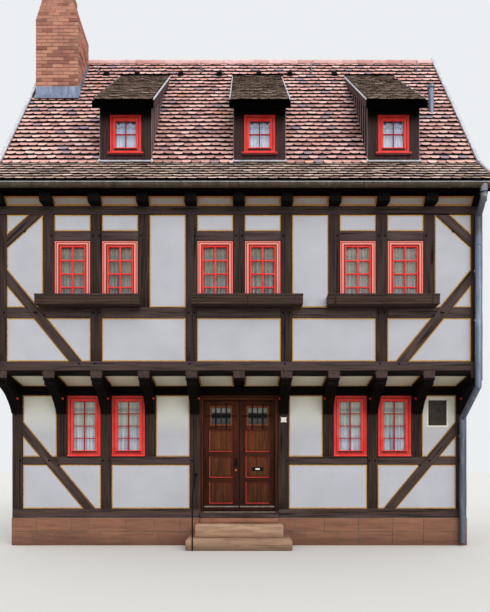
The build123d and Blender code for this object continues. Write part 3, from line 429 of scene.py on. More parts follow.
def mossy_edge():
    """Lower edges of the dormers' tiles, brown with old moss, and near black along their lower part by
    painted shadow.
    """
    f = Finish("Mossy edge", 0.95, 0.1)
    grime = f.noise((9, 30, 30), 4, 0.6)
    base = f.shades(grime, (0.34, 48, 36, 31), (0.5, 124, 100, 88), (0.68, 184, 158, 142))
    base = f.over(base, srgb(96, 80, 52), f.noise(3, 3, 0.6), (0.45, 0.0), (0.7, 0.6))
    # Painted shadow: the lower part of each edge goes near black
    foot = f.maths("MULTIPLY", f.part(f.attribute("own"), 2), 30)
    return f.colour(f.over(base, srgb(8, 6, 5), foot, (0.28, 1.0), (0.34, 0.0))).bump(grime, 0.004, 0.6)


def metal(name, colour, pale, roughness=0.42, shades=(), cloudy=0.4, bare=0.55):
    """Weathered sheet metal with streaks that run down, and other shades at some heights."""
    f = Finish(name, roughness, 0.5).set(Metallic=bare)
    streaks, clouds = f.noise((16, 16, 1.6), 5, 0.6), f.noise(4, 4, 0.6)
    base = f.ramp(streaks, (0.28, times(colour, 0.62)), (0.55, colour), (0.8, pale))
    base = f.over(base, times(colour, 0.6), clouds, (0.4, 0.0), (0.75, cloudy))
    if shades:
        base = f.tint(base, f.height(), *shades)
    dull = f.ramp(clouds, (0.3, roughness * 0.8), (0.8, min(1, roughness * 1.5)))
    return f.colour(base).set(Roughness=dull).bump(clouds, 0.002, 0.3)


def zinc():
    """Blue grey zinc of the downpipes, dark at the elbow and brown at the funnel."""
    low, elbow, funnel = (0.62, 0.62, 0.6), (0.42, 0.38, 0.34), (1.15, 0.96, 0.8)
    foot = (0.22, low), (0.3, 1), (0.57, 1), (0.585, elbow)
    head = (0.61, elbow), (0.64, funnel), (0.66, funnel), (0.68, 1)
    return metal("Zinc", colours().zinc, srgb(168, 178, 196), shades=foot + head)


def gutter_metal():
    """Brown grey sheet of the gutter."""
    brown = colours().gutter
    return metal("Gutter metal", brown, between(brown, srgb(150, 138, 126), 0.4), 0.6, cloudy=0.15)


def stone(name, colour, dark, mossy):
    """Sandstone: bedded, pitted and darker near the ground."""
    f = Finish(name, 0.9, 0.25)
    beds, pits = f.noise((1.5, 1.5, 14), 5, 0.6, 0.5), f.noise(34, 6, 0.7)
    base = f.ramp(beds, (0.3, between(colour, dark, 0.6)), (0.55, colour), (0.8, times(colour, 1.25)))
    base = f.mix(f.maths("MULTIPLY", f.tone(), 0.5), base, between(colour, dark, 0.5))
    base = f.over(base, dark, pits, (0.58, 0.0), (0.75, 0.6))
    moss = f.noise(3.2, 5, 0.7)
    base = f.over(base, srgb(84, 82, 52), moss, (0.66 - mossy, 0.0), (0.86 - mossy, 0.7))
    darker_near_ground = f.maths("ADD", f.height(0, 1), f.maths("MULTIPLY", f.noise(2.5, 4, 0.6), -0.16))
    base = f.over(base, dark, darker_near_ground, (0.0, 0.5), (0.2, 0.0))
    return f.colour(base).bump(beds, 0.006, 0.5).bump(pits, 0.005, 0.7)


def brick_clay():
    """Hand made chimney bricks, sooty in places."""
    f = Finish("Brick clay", 0.88, 0.25)
    pits = f.noise(44, 5, 0.7)
    tones = (0.0, srgb(138, 88, 76)), (0.45, colours().brick), (0.9, srgb(196, 138, 116))
    base = f.ramp(f.tone(), *tones)
    base = f.over(base, srgb(70, 58, 50), f.noise(2.4, 5, 0.65), (0.5, 0.0), (0.8, 0.7))
    base = f.over(base, srgb(60, 40, 34), pits, (0.6, 0.0), (0.76, 0.5))
    return f.colour(base).bump(pits, 0.004, 0.7)


def party_render():
    """Plain grey render of the party walls."""
    f = Finish("Party render", 0.92, 0.2)
    wash, trowel, clouds = colours().render, f.noise(7, 5, 0.6), f.noise((1.1, 1.1, 0.44), 6, 0.65)
    base = f.ramp(clouds, (0.3, times(wash, 0.84)), (0.6, wash), (0.85, times(wash, 1.08)))
    f.colour(f.over(base, times(wash, 0.66), trowel, (0.6, 0.0), (0.8, 0.3)))
    return f.bump(trowel, 0.008, 0.5).bump(f.noise(120, 3, 0.6), 0.002, 0.7)


def floor_boards():
    """Pine boards of the floors, laid along the house."""
    f = Finish("Floor boards", 0.55, 0.4)
    boards = {"Scale": 1.0, "Mortar Size": 0.004, "Brick Width": 2.6, "Row Height": 0.16}
    tints = {"Color1": srgb(150, 108, 68), "Color2": srgb(118, 82, 50), "Mortar": srgb(40, 26, 16)}
    rows = f.add("ShaderNodeTexBrick", {"Vector": f.place} | boards | tints, offset=0.37)
    grain = f.noise((2.2, 60, 60), 5, 0.6, 0.3)
    f.colour(f.over(rows.outputs["Color"], srgb(86, 58, 34), grain, (0.35, 0.5), (0.65, 0.0)))
    return f.bump(grain, 0.001, 0.5).bump(f.maths("SUBTRACT", 1.0, rows.outputs["Fac"]), 0.004, 0.8)


def soil():
    """Dark soil in the flower boxes."""
    f = Finish("Soil", 1.0, 0.1)
    crumbs = f.cells(46)
    f.colour(f.shades(crumbs, (0.1, 24, 18, 13), (0.7, 66, 50, 38)))
    return f.bump(crumbs, 0.012, 0.8).bump(f.noise(20, 5, 0.7), 0.02, 0.6)


def maker(kind, name, *shades, **settings):
    """What makes a finish of a kind from colours as a screen shows them."""
    return lambda: kind(name, *(srgb(*shade) for shade in shades), **settings)


def clay(name, mossy, shades):
    """What makes a tile's clay from such colours."""
    return lambda: tile_clay(name, mossy, *((at, srgb(*colour)) for at, *colour in shades))


def grainy(*settings):
    """What makes a speckled finish."""
    return lambda: speckled(*settings)


# Shades of the tiles above the eaves, on the ridge and on the dormers
eaves_shades = (0.0, 176, 162, 158), (0.25, 162, 138, 122), (0.55, 222, 190, 170), (0.9, 246, 216, 200)
ridge_shades = (0.0, 206, 148, 146), (0.5, 226, 176, 176), (0.95, 240, 198, 198)
mossy_shades = (0.0, 100, 82, 74), (0.5, 140, 118, 106), (0.95, 186, 162, 148)

# Stops of the speckled finishes: a place along the noise, and a colour as a screen shows it
# Paler ochre: painted light on the line at the coving's foot, which lies in shade below the jetty
painted_light_ochre_stops = (0.3, 222, 176, 92), (0.6, 252, 208, 124)
# Near-black edges and undersides of the tiles and of the vent tiles: soot and moss, with painted shade
# under the lower edges
edge_stops = (0.35, 4, 3, 3), (0.75, 24, 16, 14)
# Near-black roof boards: painted shadow in the gaps between the tiles
underlay_stops = (0.3, 20, 15, 12), (0.7, 44, 34, 28)
mortar_stops = (0.3, 104, 94, 82), (0.7, 158, 146, 130)
iron_stops = (0.4, 5, 5, 5), (0.66, 14, 13, 12), (0.84, 44, 30, 22)
brass_stops = (0.35, 96, 52, 30), (0.65, 190, 98, 54)
bronze_stops = (0.35, 24, 18, 12), (0.7, 58, 46, 33)

# What makes each finish, under the word that the pieces ask for
makers = {
    "timber": lambda: wood("Timber", colours().timber, colours().timber_dark),
    # Near-black timber that stands for the shade below the jetty and the eaves
    "sheltered": lambda: wood("Timber, sheltered", colours().sheltered, srgb(6, 4, 3), shine=0.03),
    # Darker timber: the posts' own darker tone, and painted shade on the top plate below the eaves
    "shaded": maker(wood, "Timber, shaded", (54, 40, 36), (20, 14, 12), shine=0.12),
    "board": lambda: wood("Dormer board", colours().board, times(colours().board, 0.55), 0.65),
    "trough": maker(wood, "Trough wood", (60, 43, 35), (26, 18, 14)),
    "plaster": plaster,
    "ochre": ochre,
    "red": lambda: paint("Red paint", colours().red, colours().red_faded),
    "faded": lambda: paint("Faded paint", colours().red_faded, srgb(238, 178, 166)),
    # Dark red painted shade in the grooves and recesses of the frames, and below the dormer sills
    "groove": maker(paint, "Groove paint", (86, 14, 12), (80, 28, 24)),
    "bar": maker(paint, "Bar paint", (178, 10, 12), (188, 30, 28)),
    # Near-black painted shadow in joints and gaps: beside the window frames, under drips, sills, heads
    # and gutter rims, and in the door's cracks
    "gap": maker(paint, "Joint dirt", (24, 10, 9), (30, 20, 16)),
    "bead": maker(paint, "Bead paint", (206, 50, 54), (224, 96, 94)),
    # Dull dark red: painted shade on the beads' heads and right sides, away from the light
    "bead_dark": maker(paint, "Bead paint, dull", (114, 32, 28), (96, 44, 34)),
    "enamel": maker(paint, "White enamel", (246, 238, 232), (250, 244, 240)),
    "glass": lambda: glass("Window glass", 1.0, 0.38).colour(srgb(226, 236, 240)),
    "sky_glass": sky_glass,
    "obscured_glass": door_glass,
    "net": net,
    "roof_clay": roof_clay,
    "eaves_clay": clay("Eaves clay", 0.24, eaves_shades),
    "ridge_clay": clay("Ridge clay", 0.02, ridge_shades),
    "mossy_clay": clay("Mossy clay", 0.12, mossy_shades),
    "mossy_edge": mossy_edge,
    "pale_ochre": grainy("Ochre line, pale", 0.85, 0.25, (24, 4, 0.65), painted_light_ochre_stops, (0.001, 0.4)),
    "tile_edge": grainy("Tile edge", 0.95, 0.1, (30, 4, 0.6), edge_stops, (0.004, 0.6)),
    "underlay": grainy("Roof boards", 0.95, 0.1, ((2, 20, 20), 4, 0.6), underlay_stops, (0.004, 0.5)),
    "mortar": grainy("Mortar", 0.95, 0.15, (90, 4, 0.7), mortar_stops, (0.003, 0.7)),
    "iron": grainy("Black iron", 0.65, 0.1, (60, 5, 0.7), iron_stops, (0.0012, 0.6)),
    "brass": grainy("Worn brass", 0.4, 0.5, (45, 4, 0.6), brass_stops, (0.001, 0.4), 0.8),
    "bronze": grainy("Bronze", 0.5, 0.5, (18, 5, 0.65), bronze_stops, (0.002, 0.6), 0.6),
    "zinc": zinc,
    "gutter": gutter_metal,
    "flashing": maker(
        metal, "Pale flashing", (208, 210, 220), (224, 226, 232), roughness=0.65, bare=0.2
    ),
    "dull": maker(metal, "Dull strip", (128, 114, 110), (164, 150, 146), roughness=0.6),
    "lead": maker(metal, "Lead", (128, 140, 164), (164, 176, 198), roughness=0.55),
    "sandstone": lambda: stone("Sandstone", colours().sandstone, srgb(78, 54, 44), 0.04),
    "step_stone": lambda: stone("Step stone", colours().step_stone, srgb(96, 74, 58), 0.0),
    "brick": brick_clay,
    "render": party_render,
    "floor": floor_boards,
    "soil": soil,
    # The attic floor's edge takes the near-black painted shade below the eaves
    "floor_edge": lambda: plain_wood(
        "Timber edge", colours().sheltered, srgb(6, 4, 3), across=True, shine=0.02
    ),
    "board_upright": maker(plain_wood, "Dormer boards, upright", (34, 25, 25), (12, 9, 9), shine=0.04),
    "board_level": lambda: plain_wood(
        "Dormer boards, level", colours().board, times(colours().board, 0.4), across=True
    ),
    "batten": maker(plain_wood, "Dormer battens", (158, 132, 136), (104, 84, 86)),
    # Dormer fronts go near black above 8.13 m: painted shade under the dormer eaves
    "board_dark": maker(plain_wood, "Dormer boards, dark", (66, 49, 49), (36, 26, 26), shade=8.13),
    # Near-black boards: painted shade under the dormer eaves and on the coving's part below the main
    # eaves
    "soffit": maker(plain_wood, "Soffit boards", (3, 2, 2), (1, 1, 1), across=True, shine=0.0),
    "door_upright": maker(plain_wood, "Door wood, upright", (76, 37, 21), (32, 15, 8), fade=True),
    "door_across": maker(
        plain_wood, "Door wood, across", (80, 40, 23), (36, 18, 10), across=True, fade=True
    ),
    "door_panel": lambda: plain_wood("Door panels", colours().door, srgb(58, 32, 20), fade=True),
    "door_trim": lambda: plain_wood("Door trim", colours().door_trim, srgb(92, 46, 26)),
}
made = {}


def finish(name):
    """The material of that name, made when it is first asked for."""
    if name not in made:
        made[name] = makers[name]().material
    return made[name]


def give(piece, *names):
    """Add finishes to a piece, one slot for each."""
    for name in names:
        piece.data.materials.append(finish(name))
    return piece


def clear():
    """Deselect everything."""
    if bpy.context.object and bpy.context.object.mode != "OBJECT":
        bpy.ops.object.mode_set(mode="OBJECT")
    bpy.ops.object.select_all(action="DESELECT")


def only(piece):
    """Select one piece and make it active."""
    clear()
    piece.select_set(True)
    bpy.context.view_layer.objects.active = piece


class Bench:
    """Edit mode on one piece, with faces and edges chosen by place and direction."""

    def __init__(self, piece):
        self.piece = piece

    def __enter__(self):
        only(self.piece)
        bpy.ops.object.mode_set(mode="EDIT")
        bpy.ops.mesh.select_all(action="SELECT")
        return self

    def __exit__(self, *_):
        bpy.ops.object.mode_set(mode="OBJECT")

    def all(self):
        """Select the whole mesh."""
        bpy.ops.mesh.select_mode(type="FACE")
        bpy.ops.mesh.select_all(action="SELECT")

    def faces(self, test):
        """Select the faces whose middle and normal pass a test."""
        bpy.ops.mesh.select_mode(type="FACE")
        bpy.ops.mesh.select_all(action="DESELECT")
        mesh = bmesh.from_edit_mesh(self.piece.data)
        for face in mesh.faces:
            if test(face.calc_center_median(), face.normal):
                face.select_set(True)
        bmesh.update_edit_mesh(self.piece.data)

    def edges(self, test):
        """Select the edges whose middle and direction pass a test."""
        bpy.ops.mesh.select_mode(type="EDGE")
        bpy.ops.mesh.select_all(action="DESELECT")
        mesh = bmesh.from_edit_mesh(self.piece.data)
        for edge in mesh.edges:
            start, end = (v.co for v in edge.verts)
            if test((start + end) / 2, (end - start).normalized()):
                edge.select_set(True)
        bmesh.update_edit_mesh(self.piece.data)

    def soften(self, test, width, segments=1):
        """Bevel the edges that pass a test."""
        self.edges(test)
        bpy.ops.mesh.bevel(offset=width, segments=segments, affect="EDGES", clamp_overlap=True)

    def inset(self, width, depth=0.0, each=False):
        """Inset the chosen faces and move them along their normal."""
        bpy.ops.mesh.inset(thickness=width, depth=depth, use_individual=each, use_even_offset=True)

    def mark(self, look, test=None):
        """Give the faces that pass a test, or those already chosen, one of the piece's finishes."""
        if test:
            self.faces(test)
        self.piece.active_material_index = self.piece.data.materials.find(finish(look).name)
        bpy.ops.object.material_slot_assign()

    def cut(self, point, normal, one_side=False):
        """Cut the whole mesh with a plane, and keep only what lies before it if asked."""
        self.all()
        bpy.ops.mesh.bisect(plane_co=point, plane_no=normal, clear_inner=one_side)

    def slices(self, axis, start, end, step):
        """Cut the whole mesh across an axis at even steps."""
        count = max(1, round((end - start) / step))
        direction = Vector([n == axis for n in range(3)])
        for k in range(1, count):
            self.cut(direction * (start + (end - start) * k / count), direction)


def settle():
    """Write the active piece's place, turn and scale into its mesh."""
    bpy.ops.object.transform_apply(location=True, rotation=True, scale=True)
    return bpy.context.object


def linked(name, data):
    """A new object in the scene."""
    piece = bpy.data.objects.new(name, data)
    bpy.context.scene.collection.objects.link(piece)
    return piece


def block(name, low, high, *looks):
    """A new box between two corners."""
    clear()
    low, high = Vector(low), Vector(high)
    bpy.ops.mesh.primitive_cube_add(size=1, location=(low + high) / 2)
    piece = bpy.context.object
    piece.scale, piece.name = high - low, name
    return give(settle(), *looks)


def rod(name, start, end, radius, sides=12, dome=0.25):
    """A round rod with slightly domed ends."""
    clear()
    start, end = Vector(start), Vector(end)
    bpy.ops.mesh.primitive_cylinder_add(vertices=sides, radius=radius, depth=(end - start).length)
    piece = bpy.context.object
    piece.name = name
    with Bench(piece) as bench:
        bench.faces(lambda c, n: abs(n.z) > 0.9)
        bench.inset(radius * 0.35, radius * dome, each=True)
    piece.location = (start + end) / 2
    piece.rotation_euler = (end - start).to_track_quat("Z", "Y").to_euler()
    only(piece)
    return settle()


def join(name, pieces):
    """Several pieces as one, the first one's place kept."""
    clear()
    for piece in pieces:
        piece.select_set(True)
    bpy.context.view_layer.objects.active = pieces[0]
    bpy.ops.object.join()
    pieces[0].name = name
    return pieces[0]


def moulded_ring(name, low, high, steps, looks, facing=-1):
    """A frame round an opening: each step of its front has a width, a depth and a finish."""
    piece = block(name, low, high, *looks)
    middle = (Vector(low) + Vector(high)) / 2
    with Bench(piece) as bench:
        bench.faces(lambda c, n: n.y * facing > 0.9)
        for width, depth, look in steps:
            bench.mark(look)
            bench.inset(width, depth)
        bench.mark(steps[-1][2])
        bench.faces(lambda c, n: n.y * facing < -0.9)
        bench.inset(sum(width for width, _, _ in steps))
        bench.faces(lambda c, n: abs(n.y) > 0.9 and (c - middle).xz.length < 0.001)
        bpy.ops.mesh.bridge_edge_loops()
    return piece


def ribbon(name, x0, x1, path, thickness):
    """A strip between two widths along a path in Y and Z, with its thickness on the left of it."""
    clear()
    bpy.ops.mesh.primitive_plane_add(size=1)
    piece = bpy.context.object
    piece.name = name
    for vertex in piece.data.vertices:
        y, z = path[0] if vertex.co.y < 0 else path[1]
        vertex.co = (x0 if vertex.co.x < 0 else x1, y, z)
    with Bench(piece) as bench:
        for (ya, za), (yb, zb) in zip(path[1:], path[2:]):
            bench.edges(lambda c, d: abs(c.y - ya) < 1e-5 and abs(c.z - za) < 1e-5)
            bpy.ops.mesh.extrude_edges_move(TRANSFORM_OT_translate={"value": (0, yb - ya, zb - za)})
        bench.all()
        bpy.ops.mesh.normals_make_consistent(inside=False)
    return modified(piece, "SOLIDIFY", thickness=thickness, offset=1, use_even_offset=True)


def bent_rod(name, points, radius, corner=0.0):
    """A round rod through points, with its corners rounded."""
    points = [Vector(p) for p in points]
    line, bends = [points[0]], 6
    for before, at, after in zip(points, points[1:], points[2:]):
        start, end = at + (before - at).normalized() * corner, at + (after - at).normalized() * corner
        for t in (n / bends for n in range(bends + 1)):
            line.append(start * (1 - t) ** 2 + at * 2 * t * (1 - t) + end * t ** 2)
    line.append(points[-1])
    curve = bpy.data.curves.new(name, "CURVE")
    curve.dimensions = "3D"
    curve.bevel_depth, curve.bevel_resolution, curve.use_fill_caps = radius, 2, True
    spline = curve.splines.new("POLY")
    spline.points.add(len(line) - 1)
    for point, place in zip(spline.points, line):
        point.co = (*place, 1)
    only(linked(name, curve))
    bpy.ops.object.convert(target="MESH")
    return bpy.context.object


def points_of(piece):
    """The places of a mesh's points as an array."""
    co = np.empty(len(piece.data.vertices) * 3)
    piece.data.vertices.foreach_get("co", co)
    return co.reshape(-1, 3)


def move_points(piece, co):
    """Put a mesh's points in other places."""
    piece.data.vertices.foreach_set("co", co.ravel())
    piece.data.update()


def loose_parts(piece):
    """Arrays of point numbers, one for each loose part. Points at one place count as joined."""
    _, same = np.unique(np.round(points_of(piece), 4), axis=0, return_inverse=True)
    same = same.ravel()
    parent = list(range(int(same.max()) + 1))

    def top(n):
        while parent[n] != n:
            parent[n] = parent[parent[n]]
            n = parent[n]
        return n

    for edge in piece.data.edges:
        a, b = (top(int(same[v])) for v in edge.vertices)
        parent[a] = b
    roots = np.array([top(int(n)) for n in same])
    return [np.flatnonzero(roots == root) for root in dict.fromkeys(roots.tolist())]


def part_boxes(node):
    """Lowest and highest corner of each solid of a node."""
    piece = frame["nodes"][node]
    co = points_of(piece)
    return [(Vector(co[p].min(0)), Vector(co[p].max(0))) for p in loose_parts(piece)]


def walls_of(boxes):
    """Each box with its side of the house, -1 for the front, and the Y of its outer face."""
    for low, high in boxes:
        side = -1 if low.y < 0 else 1
        yield low, high, side, low.y if side < 0 else high.y


def write_vectors(piece, name, values):
    """Store one vector for each point of a mesh."""
    layer = piece.data.attributes.new(name, "FLOAT_VECTOR", "POINT")
    layer.data.foreach_set("vector", np.asarray(values, float).ravel())


def give_grain(piece, seed):
    """Give each loose part a grain along its longest edge, with an offset and a tone of its own."""
    dice = random.Random(seed)
    co = points_of(piece)
    own, tone = np.zeros_like(co), np.zeros_like(co)
    edges = np.array([edge.vertices[:] for edge in piece.data.edges])
    spans = co[edges[:, 1]] - co[edges[:, 0]]
    lengths = np.linalg.norm(spans, axis=1)
    for part in loose_parts(piece):
        inside = np.isin(edges[:, 0], part)
        longest = np.flatnonzero(inside)[lengths[inside].argmax()]
        along = spans[longest] / lengths[longest]
        across = np.cross(along, (0, 1, 0) if abs(along[1]) < 0.9 else (1, 0, 0))
        across /= np.linalg.norm(across)
        axes = np.array([along, across, np.cross(along, across)])
        own[part] = co[part] @ axes.T + [dice.uniform(0, 40) for _ in range(3)]
        tone[part] = [dice.random() for _ in range(3)]
    write_vectors(piece, "own", own)
    write_vectors(piece, "tone", tone)


def copy_of(node, name, *looks):
    """A merged copy of a solid's mesh, free to be shaped, with its flat faces whole."""
    piece = linked(name, frame["nodes"][node].data.copy())
    piece.data.materials.clear()
    with Bench(piece) as bench:
        bench.all()
        bpy.ops.mesh.remove_doubles(threshold=0.0001)
        bpy.ops.mesh.dissolve_limited(angle_limit=math.radians(1))
    bpy.ops.object.shade_flat()
    return give(piece, *looks)


def modified(piece, kind, **settings):
    """Add a modifier, set it and apply it."""
    only(piece)
    modifier = piece.modifiers.new(kind.title(), kind)
    for key, value in settings.items():
        setattr(modifier, key, value)
    bpy.ops.object.modifier_apply(modifier=modifier.name)
    return piece


def roughen(piece, amount, size):
    """Move the surface in and out by a soft noise, but not into the ground."""
    lumps = bpy.data.textures.new(piece.name + " lumps", "CLOUDS")
    lumps.noise_scale = size
    modified(piece, "DISPLACE", texture=lumps, strength=amount, mid_level=0.5, texture_coords="LOCAL")
    co = points_of(piece)
    co[:, 2] = np.maximum(co[:, 2], 0)
    move_points(piece, co)
    return piece


def worked(node, name, chamfer, axis, step, amount, seed):
    """A solid as worked wood or stone: chamfered, cut into short lengths and a little uneven."""
    piece = copy_of(node, name)
    give_grain(piece, seed)
    low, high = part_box(node)
    with Bench(piece) as bench:
        bench.soften(lambda c, d: True, chamfer)
        bench.slices(axis, low[axis], high[axis], step)
    return roughen(piece, amount, 0.6)


def dress(piece, slot, *looks, body=house, replaces=None, smooth=None):
    """Finish a piece: its finishes, its body and the solid that it stands for. Its slot is not used."""
    give(piece, *looks)
    if smooth:
        only(piece)
        bpy.ops.object.shade_smooth_by_angle(angle=math.radians(smooth))
    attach(piece, body)
    if replaces:
        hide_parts(replaces)
    return piece


def coat(look, *nodes):
    """Give solids that stay their finish."""
    for node in nodes:
        frame["nodes"][node].data.materials.clear()
        give(frame["nodes"][node], look)


def move(x, y, z):
    """A shift."""
    return Matrix.Translation((x, y, z))


def turn(angle, axis="Z"):
    """A turn about an axis."""
    return Matrix.Rotation(angle, 4, axis)


def stretch(x, y, z):
    """A stretch along the axes."""
    return Matrix.Diagonal((x, y, z, 1))


def facing_spot(x, y, z, side):
    """A place on the front wall, or turned round on the back wall."""
    return move(x, y, z) @ turn(0 if side < 0 else math.pi)


def repeat(name, template, spots, seed=0):
    """Copies of a template at each spot as one mesh, each with its own coordinates and tone."""
    dice = random.Random(seed)
    source, co, count = template.data, points_of(template), len(spots)
    polygons = [tuple(p.vertices) for p in source.polygons]
    places = np.concatenate([co @ np.array(m)[:3, :3].T + np.array(m)[:3, 3] for m in spots])
    faces = [tuple(v + n * len(co) for v in p) for n in range(count) for p in polygons]
    mesh = bpy.data.meshes.new(name)
    mesh.from_pydata(places.tolist(), [], faces)
    for material in source.materials:
        mesh.materials.append(material)
    for key in ("material_index", "use_smooth"):
        mesh.polygons.foreach_set(key, [getattr(p, key) for p in source.polygons] * count)
    piece = linked(name, mesh)
    # The seed's first numbers, one for each copy, are passed over
    for _ in spots:
        dice.random()
    tones = np.array([[dice.random() for _ in range(3)] for _ in spots])
    write_vectors(piece, "own", np.tile(co, (count, 1)))
    write_vectors(piece, "tone", np.repeat(tones, len(co), axis=0))
    bpy.data.objects.remove(template)
    return piece


# Heights and places read from the solids and the photograph
eaves_shade_z = 6.425
joist_shade_z = 3.17
eaves_shadow = 6.3, 6.48
rail_shadow = 6.12, 6.312
jetty_shadow = 2.93, 3.302
outer_face_y, back_wall_y = 3.05, 2.9
post_pitch, joist_reach = 0.87, 0.32
pipe_x, back_pipe_y = 4.34, 3.17
roof_foot_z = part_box("roof_eaves")[0].z + 0.15
kink_y = -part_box("dormer_fronts")[0].y + 0.02
ridge_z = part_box("roof_back")[1].z
kink_z = 7.298
roof_angle = math.atan2(ridge_z - kink_z, kink_y)
dormer_angle = math.radians(40.5)
dormer_eave = (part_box("dormer_roofs")[0].y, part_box("dormer_roofs")[0].z)


def roof_height(y):
    """Height of the front slope at a Y."""
    return kink_z + (y + kink_y) * math.tan(roof_angle)


def chimney_only(y):
    """Width of the chimney where a row meets it."""
    low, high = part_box("chimney")
    return [(low.x - 0.1, high.x)] if low.y - 0.05 < y < high.y - 0.02 else []


def front_obstacles(y):
    """Widths of the dormers and the chimney at a distance from the ridge on the front slope."""
    found = chimney_only(y)
    cheeks_end, roofs_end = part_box("dormer_cheeks")[1].y - 0.06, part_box("dormer_roofs")[1].y - 0.02
    beside_cheek, beside_roof = 0.004, 0.08
    if y < max(cheeks_end, roofs_end):
        beside = beside_cheek if y < cheeks_end else beside_roof
        found += [(low.x - beside, high.x + beside) for low, high in part_boxes("dormer_fronts")]
    return found


class HOUSE_OT_stage(bpy.types.Operator):
    """Set up the floor, the light and the camera at the photograph's view"""

    bl_idname = "house.stage"
    bl_label = "Stage"

    def execute(self, context):
        context.scene.view_settings.view_transform = "Standard"
        clear()
        floor_size = 240
        bpy.ops.mesh.primitive_grid_add(x_subdivisions=8, y_subdivisions=8, size=floor_size)
        floor = context.object
        floor.name = "floor"
        floor.data.materials.append(self.floor_finish())
        self.sky(context.scene)
        self.lamp()
        self.camera(context.scene)
        return {"FINISHED"}

    def floor_finish(self):
        """Pale floor for the camera and reflections, greyer for the light that it throws back."""
        f = Finish("Floor", 0.9, 0.2)
        path = f.add("ShaderNodeLightPath").outputs
        seen = f.maths("MAXIMUM", path["Is Camera Ray"], path["Is Glossy Ray"])
        seen = f.maths("MAXIMUM", seen, path["Is Transmission Ray"])
        return f.colour(f.mix(seen, srgb(166, 160, 148), srgb(214, 212, 208))).material

    def sky(self, scene):
        """A soft even sky, a little darker where it is seen than where it lights."""
        world = scene.world = bpy.data.worlds.new("Studio")
        world.use_nodes = True
        nodes, links = world.node_tree.nodes, world.node_tree.links
        path, seen, tint = (nodes.new("ShaderNode" + kind) for kind in ("LightPath", "Math", "Mix"))
        seen.operation, tint.data_type = "MAXIMUM", "RGBA"
        tint.inputs[6].default_value = (0.96, 0.98, 1.0, 1)
        tint.inputs[7].default_value = (0.84, 0.86, 0.88, 1)
        links.new(path.outputs["Is Camera Ray"], seen.inputs[0])
        links.new(path.outputs["Is Transmission Ray"], seen.inputs[1])
        links.new(seen.outputs[0], tint.inputs[0])
        links.new(tint.outputs[2], nodes["Background"].inputs["Color"])
        nodes["Background"].inputs["Strength"].default_value = 1.0

    def lamp(self):
        """One large soft lamp from the right front."""
        lamp = bpy.data.lights.new("key", "SUN")
        lamp.energy, lamp.angle, lamp.color = 1.5, math.radians(50), (1.0, 0.985, 0.96)
        key = linked("key", lamp)
        key.rotation_euler = Vector((-0.5, 1.0, -0.8)).to_track_quat("-Z", "Y").to_euler()

    def camera(self, scene):
        """The photograph's level view from the street, with the shift of its high frame."""
        data = bpy.data.cameras.new("camera")
        data.sensor_fit, data.sensor_width = "HORIZONTAL", 36
        data.lens = data.sensor_width * focal_pixels / photo_width
        data.shift_x = (photo_width / 2 - vanish_column) / photo_width
        data.shift_y = (vanish_row - photo_height / 2) / photo_width
        scene.camera = linked("camera", data)
        scene.camera.location = eye
        scene.camera.rotation_euler = (math.pi / 2, 0, 0)


class HOUSE_OT_masonry(bpy.types.Operator):
    """Lay the stones of the plinth and wear the steps"""

    bl_idname = "house.masonry"
    bl_label = "Plinth and steps"

    def execute(self, context):
        coat("mortar", "plinth")
        self.stones()
        for node in ("lower_step", "upper_step", "threshold_stone"):
            piece = worked(node, node + "_worn", 0.018, 0, 0.12, 0.014, 7)
            look = "sandstone" if node == "threshold_stone" else "step_stone"
            dress(piece, "step_stone", look, replaces=node, smooth=50)
        coat("render", "ground_party_walls", "upper_party_walls", "gables")
        coat("floor", "ground_floor", "upper_floor")
        return {"FINISHED"}

    def stones(self):
        """Two courses of squared stones on the four sides of the plinth."""
        low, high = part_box("plinth")
        rows = round((high.z - low.z) / sizes().stone_height)
        height, joint, corner = (high.z - low.z) / rows, sizes().joint, 0.004
        proud, uneven, shortest = 0.012, 0.006, 0.2
        template = block("stone", (-0.5, -0.5, -0.5), (0.5, 0.5, 0.5), "sandstone")
        with Bench(template) as bench:
            bench.slices(0, -0.5, 0.5, 0.25)
            bench.slices(2, -0.5, 0.5, 0.34)
            bench.soften(lambda c, d: max(abs(c.x), abs(c.z)) > 0.49 and abs(c.y) > 0.49, 0.05)
        sides = (
            (low.x, high.x, low.y, 0),
            (low.x, high.x, high.y, math.pi),
            (low.y, high.y, low.x, -math.pi / 2),
            (low.y, high.y, high.x, math.pi / 2),
        )
        dice, spots = random.Random(3), []
        for start, end, face, angle in sides:
            for row in range(rows):
                at = start + corner
                while at < end - 0.01:
                    wide = min(dice.uniform(0.3, 0.72), end - corner - at)
                    if end - at - wide < shortest:
                        wide = end - corner - at
                    deep = 2 * proud + dice.uniform(-uneven, uneven)
                    middle, z = at + wide / 2, low.z + (row + 0.5) * height
                    place = (middle, face, z) if abs(math.sin(angle)) < 0.5 else (face, middle, z)
                    size = stretch(wide - joint, deep, height - joint)
                    spots.append(move(*place) @ turn(angle) @ size)
                    at += wide
        piece = roughen(repeat("plinth_stones", template, spots, 5), 0.006, 0.12)
        dress(piece, "sandstone", smooth=40)


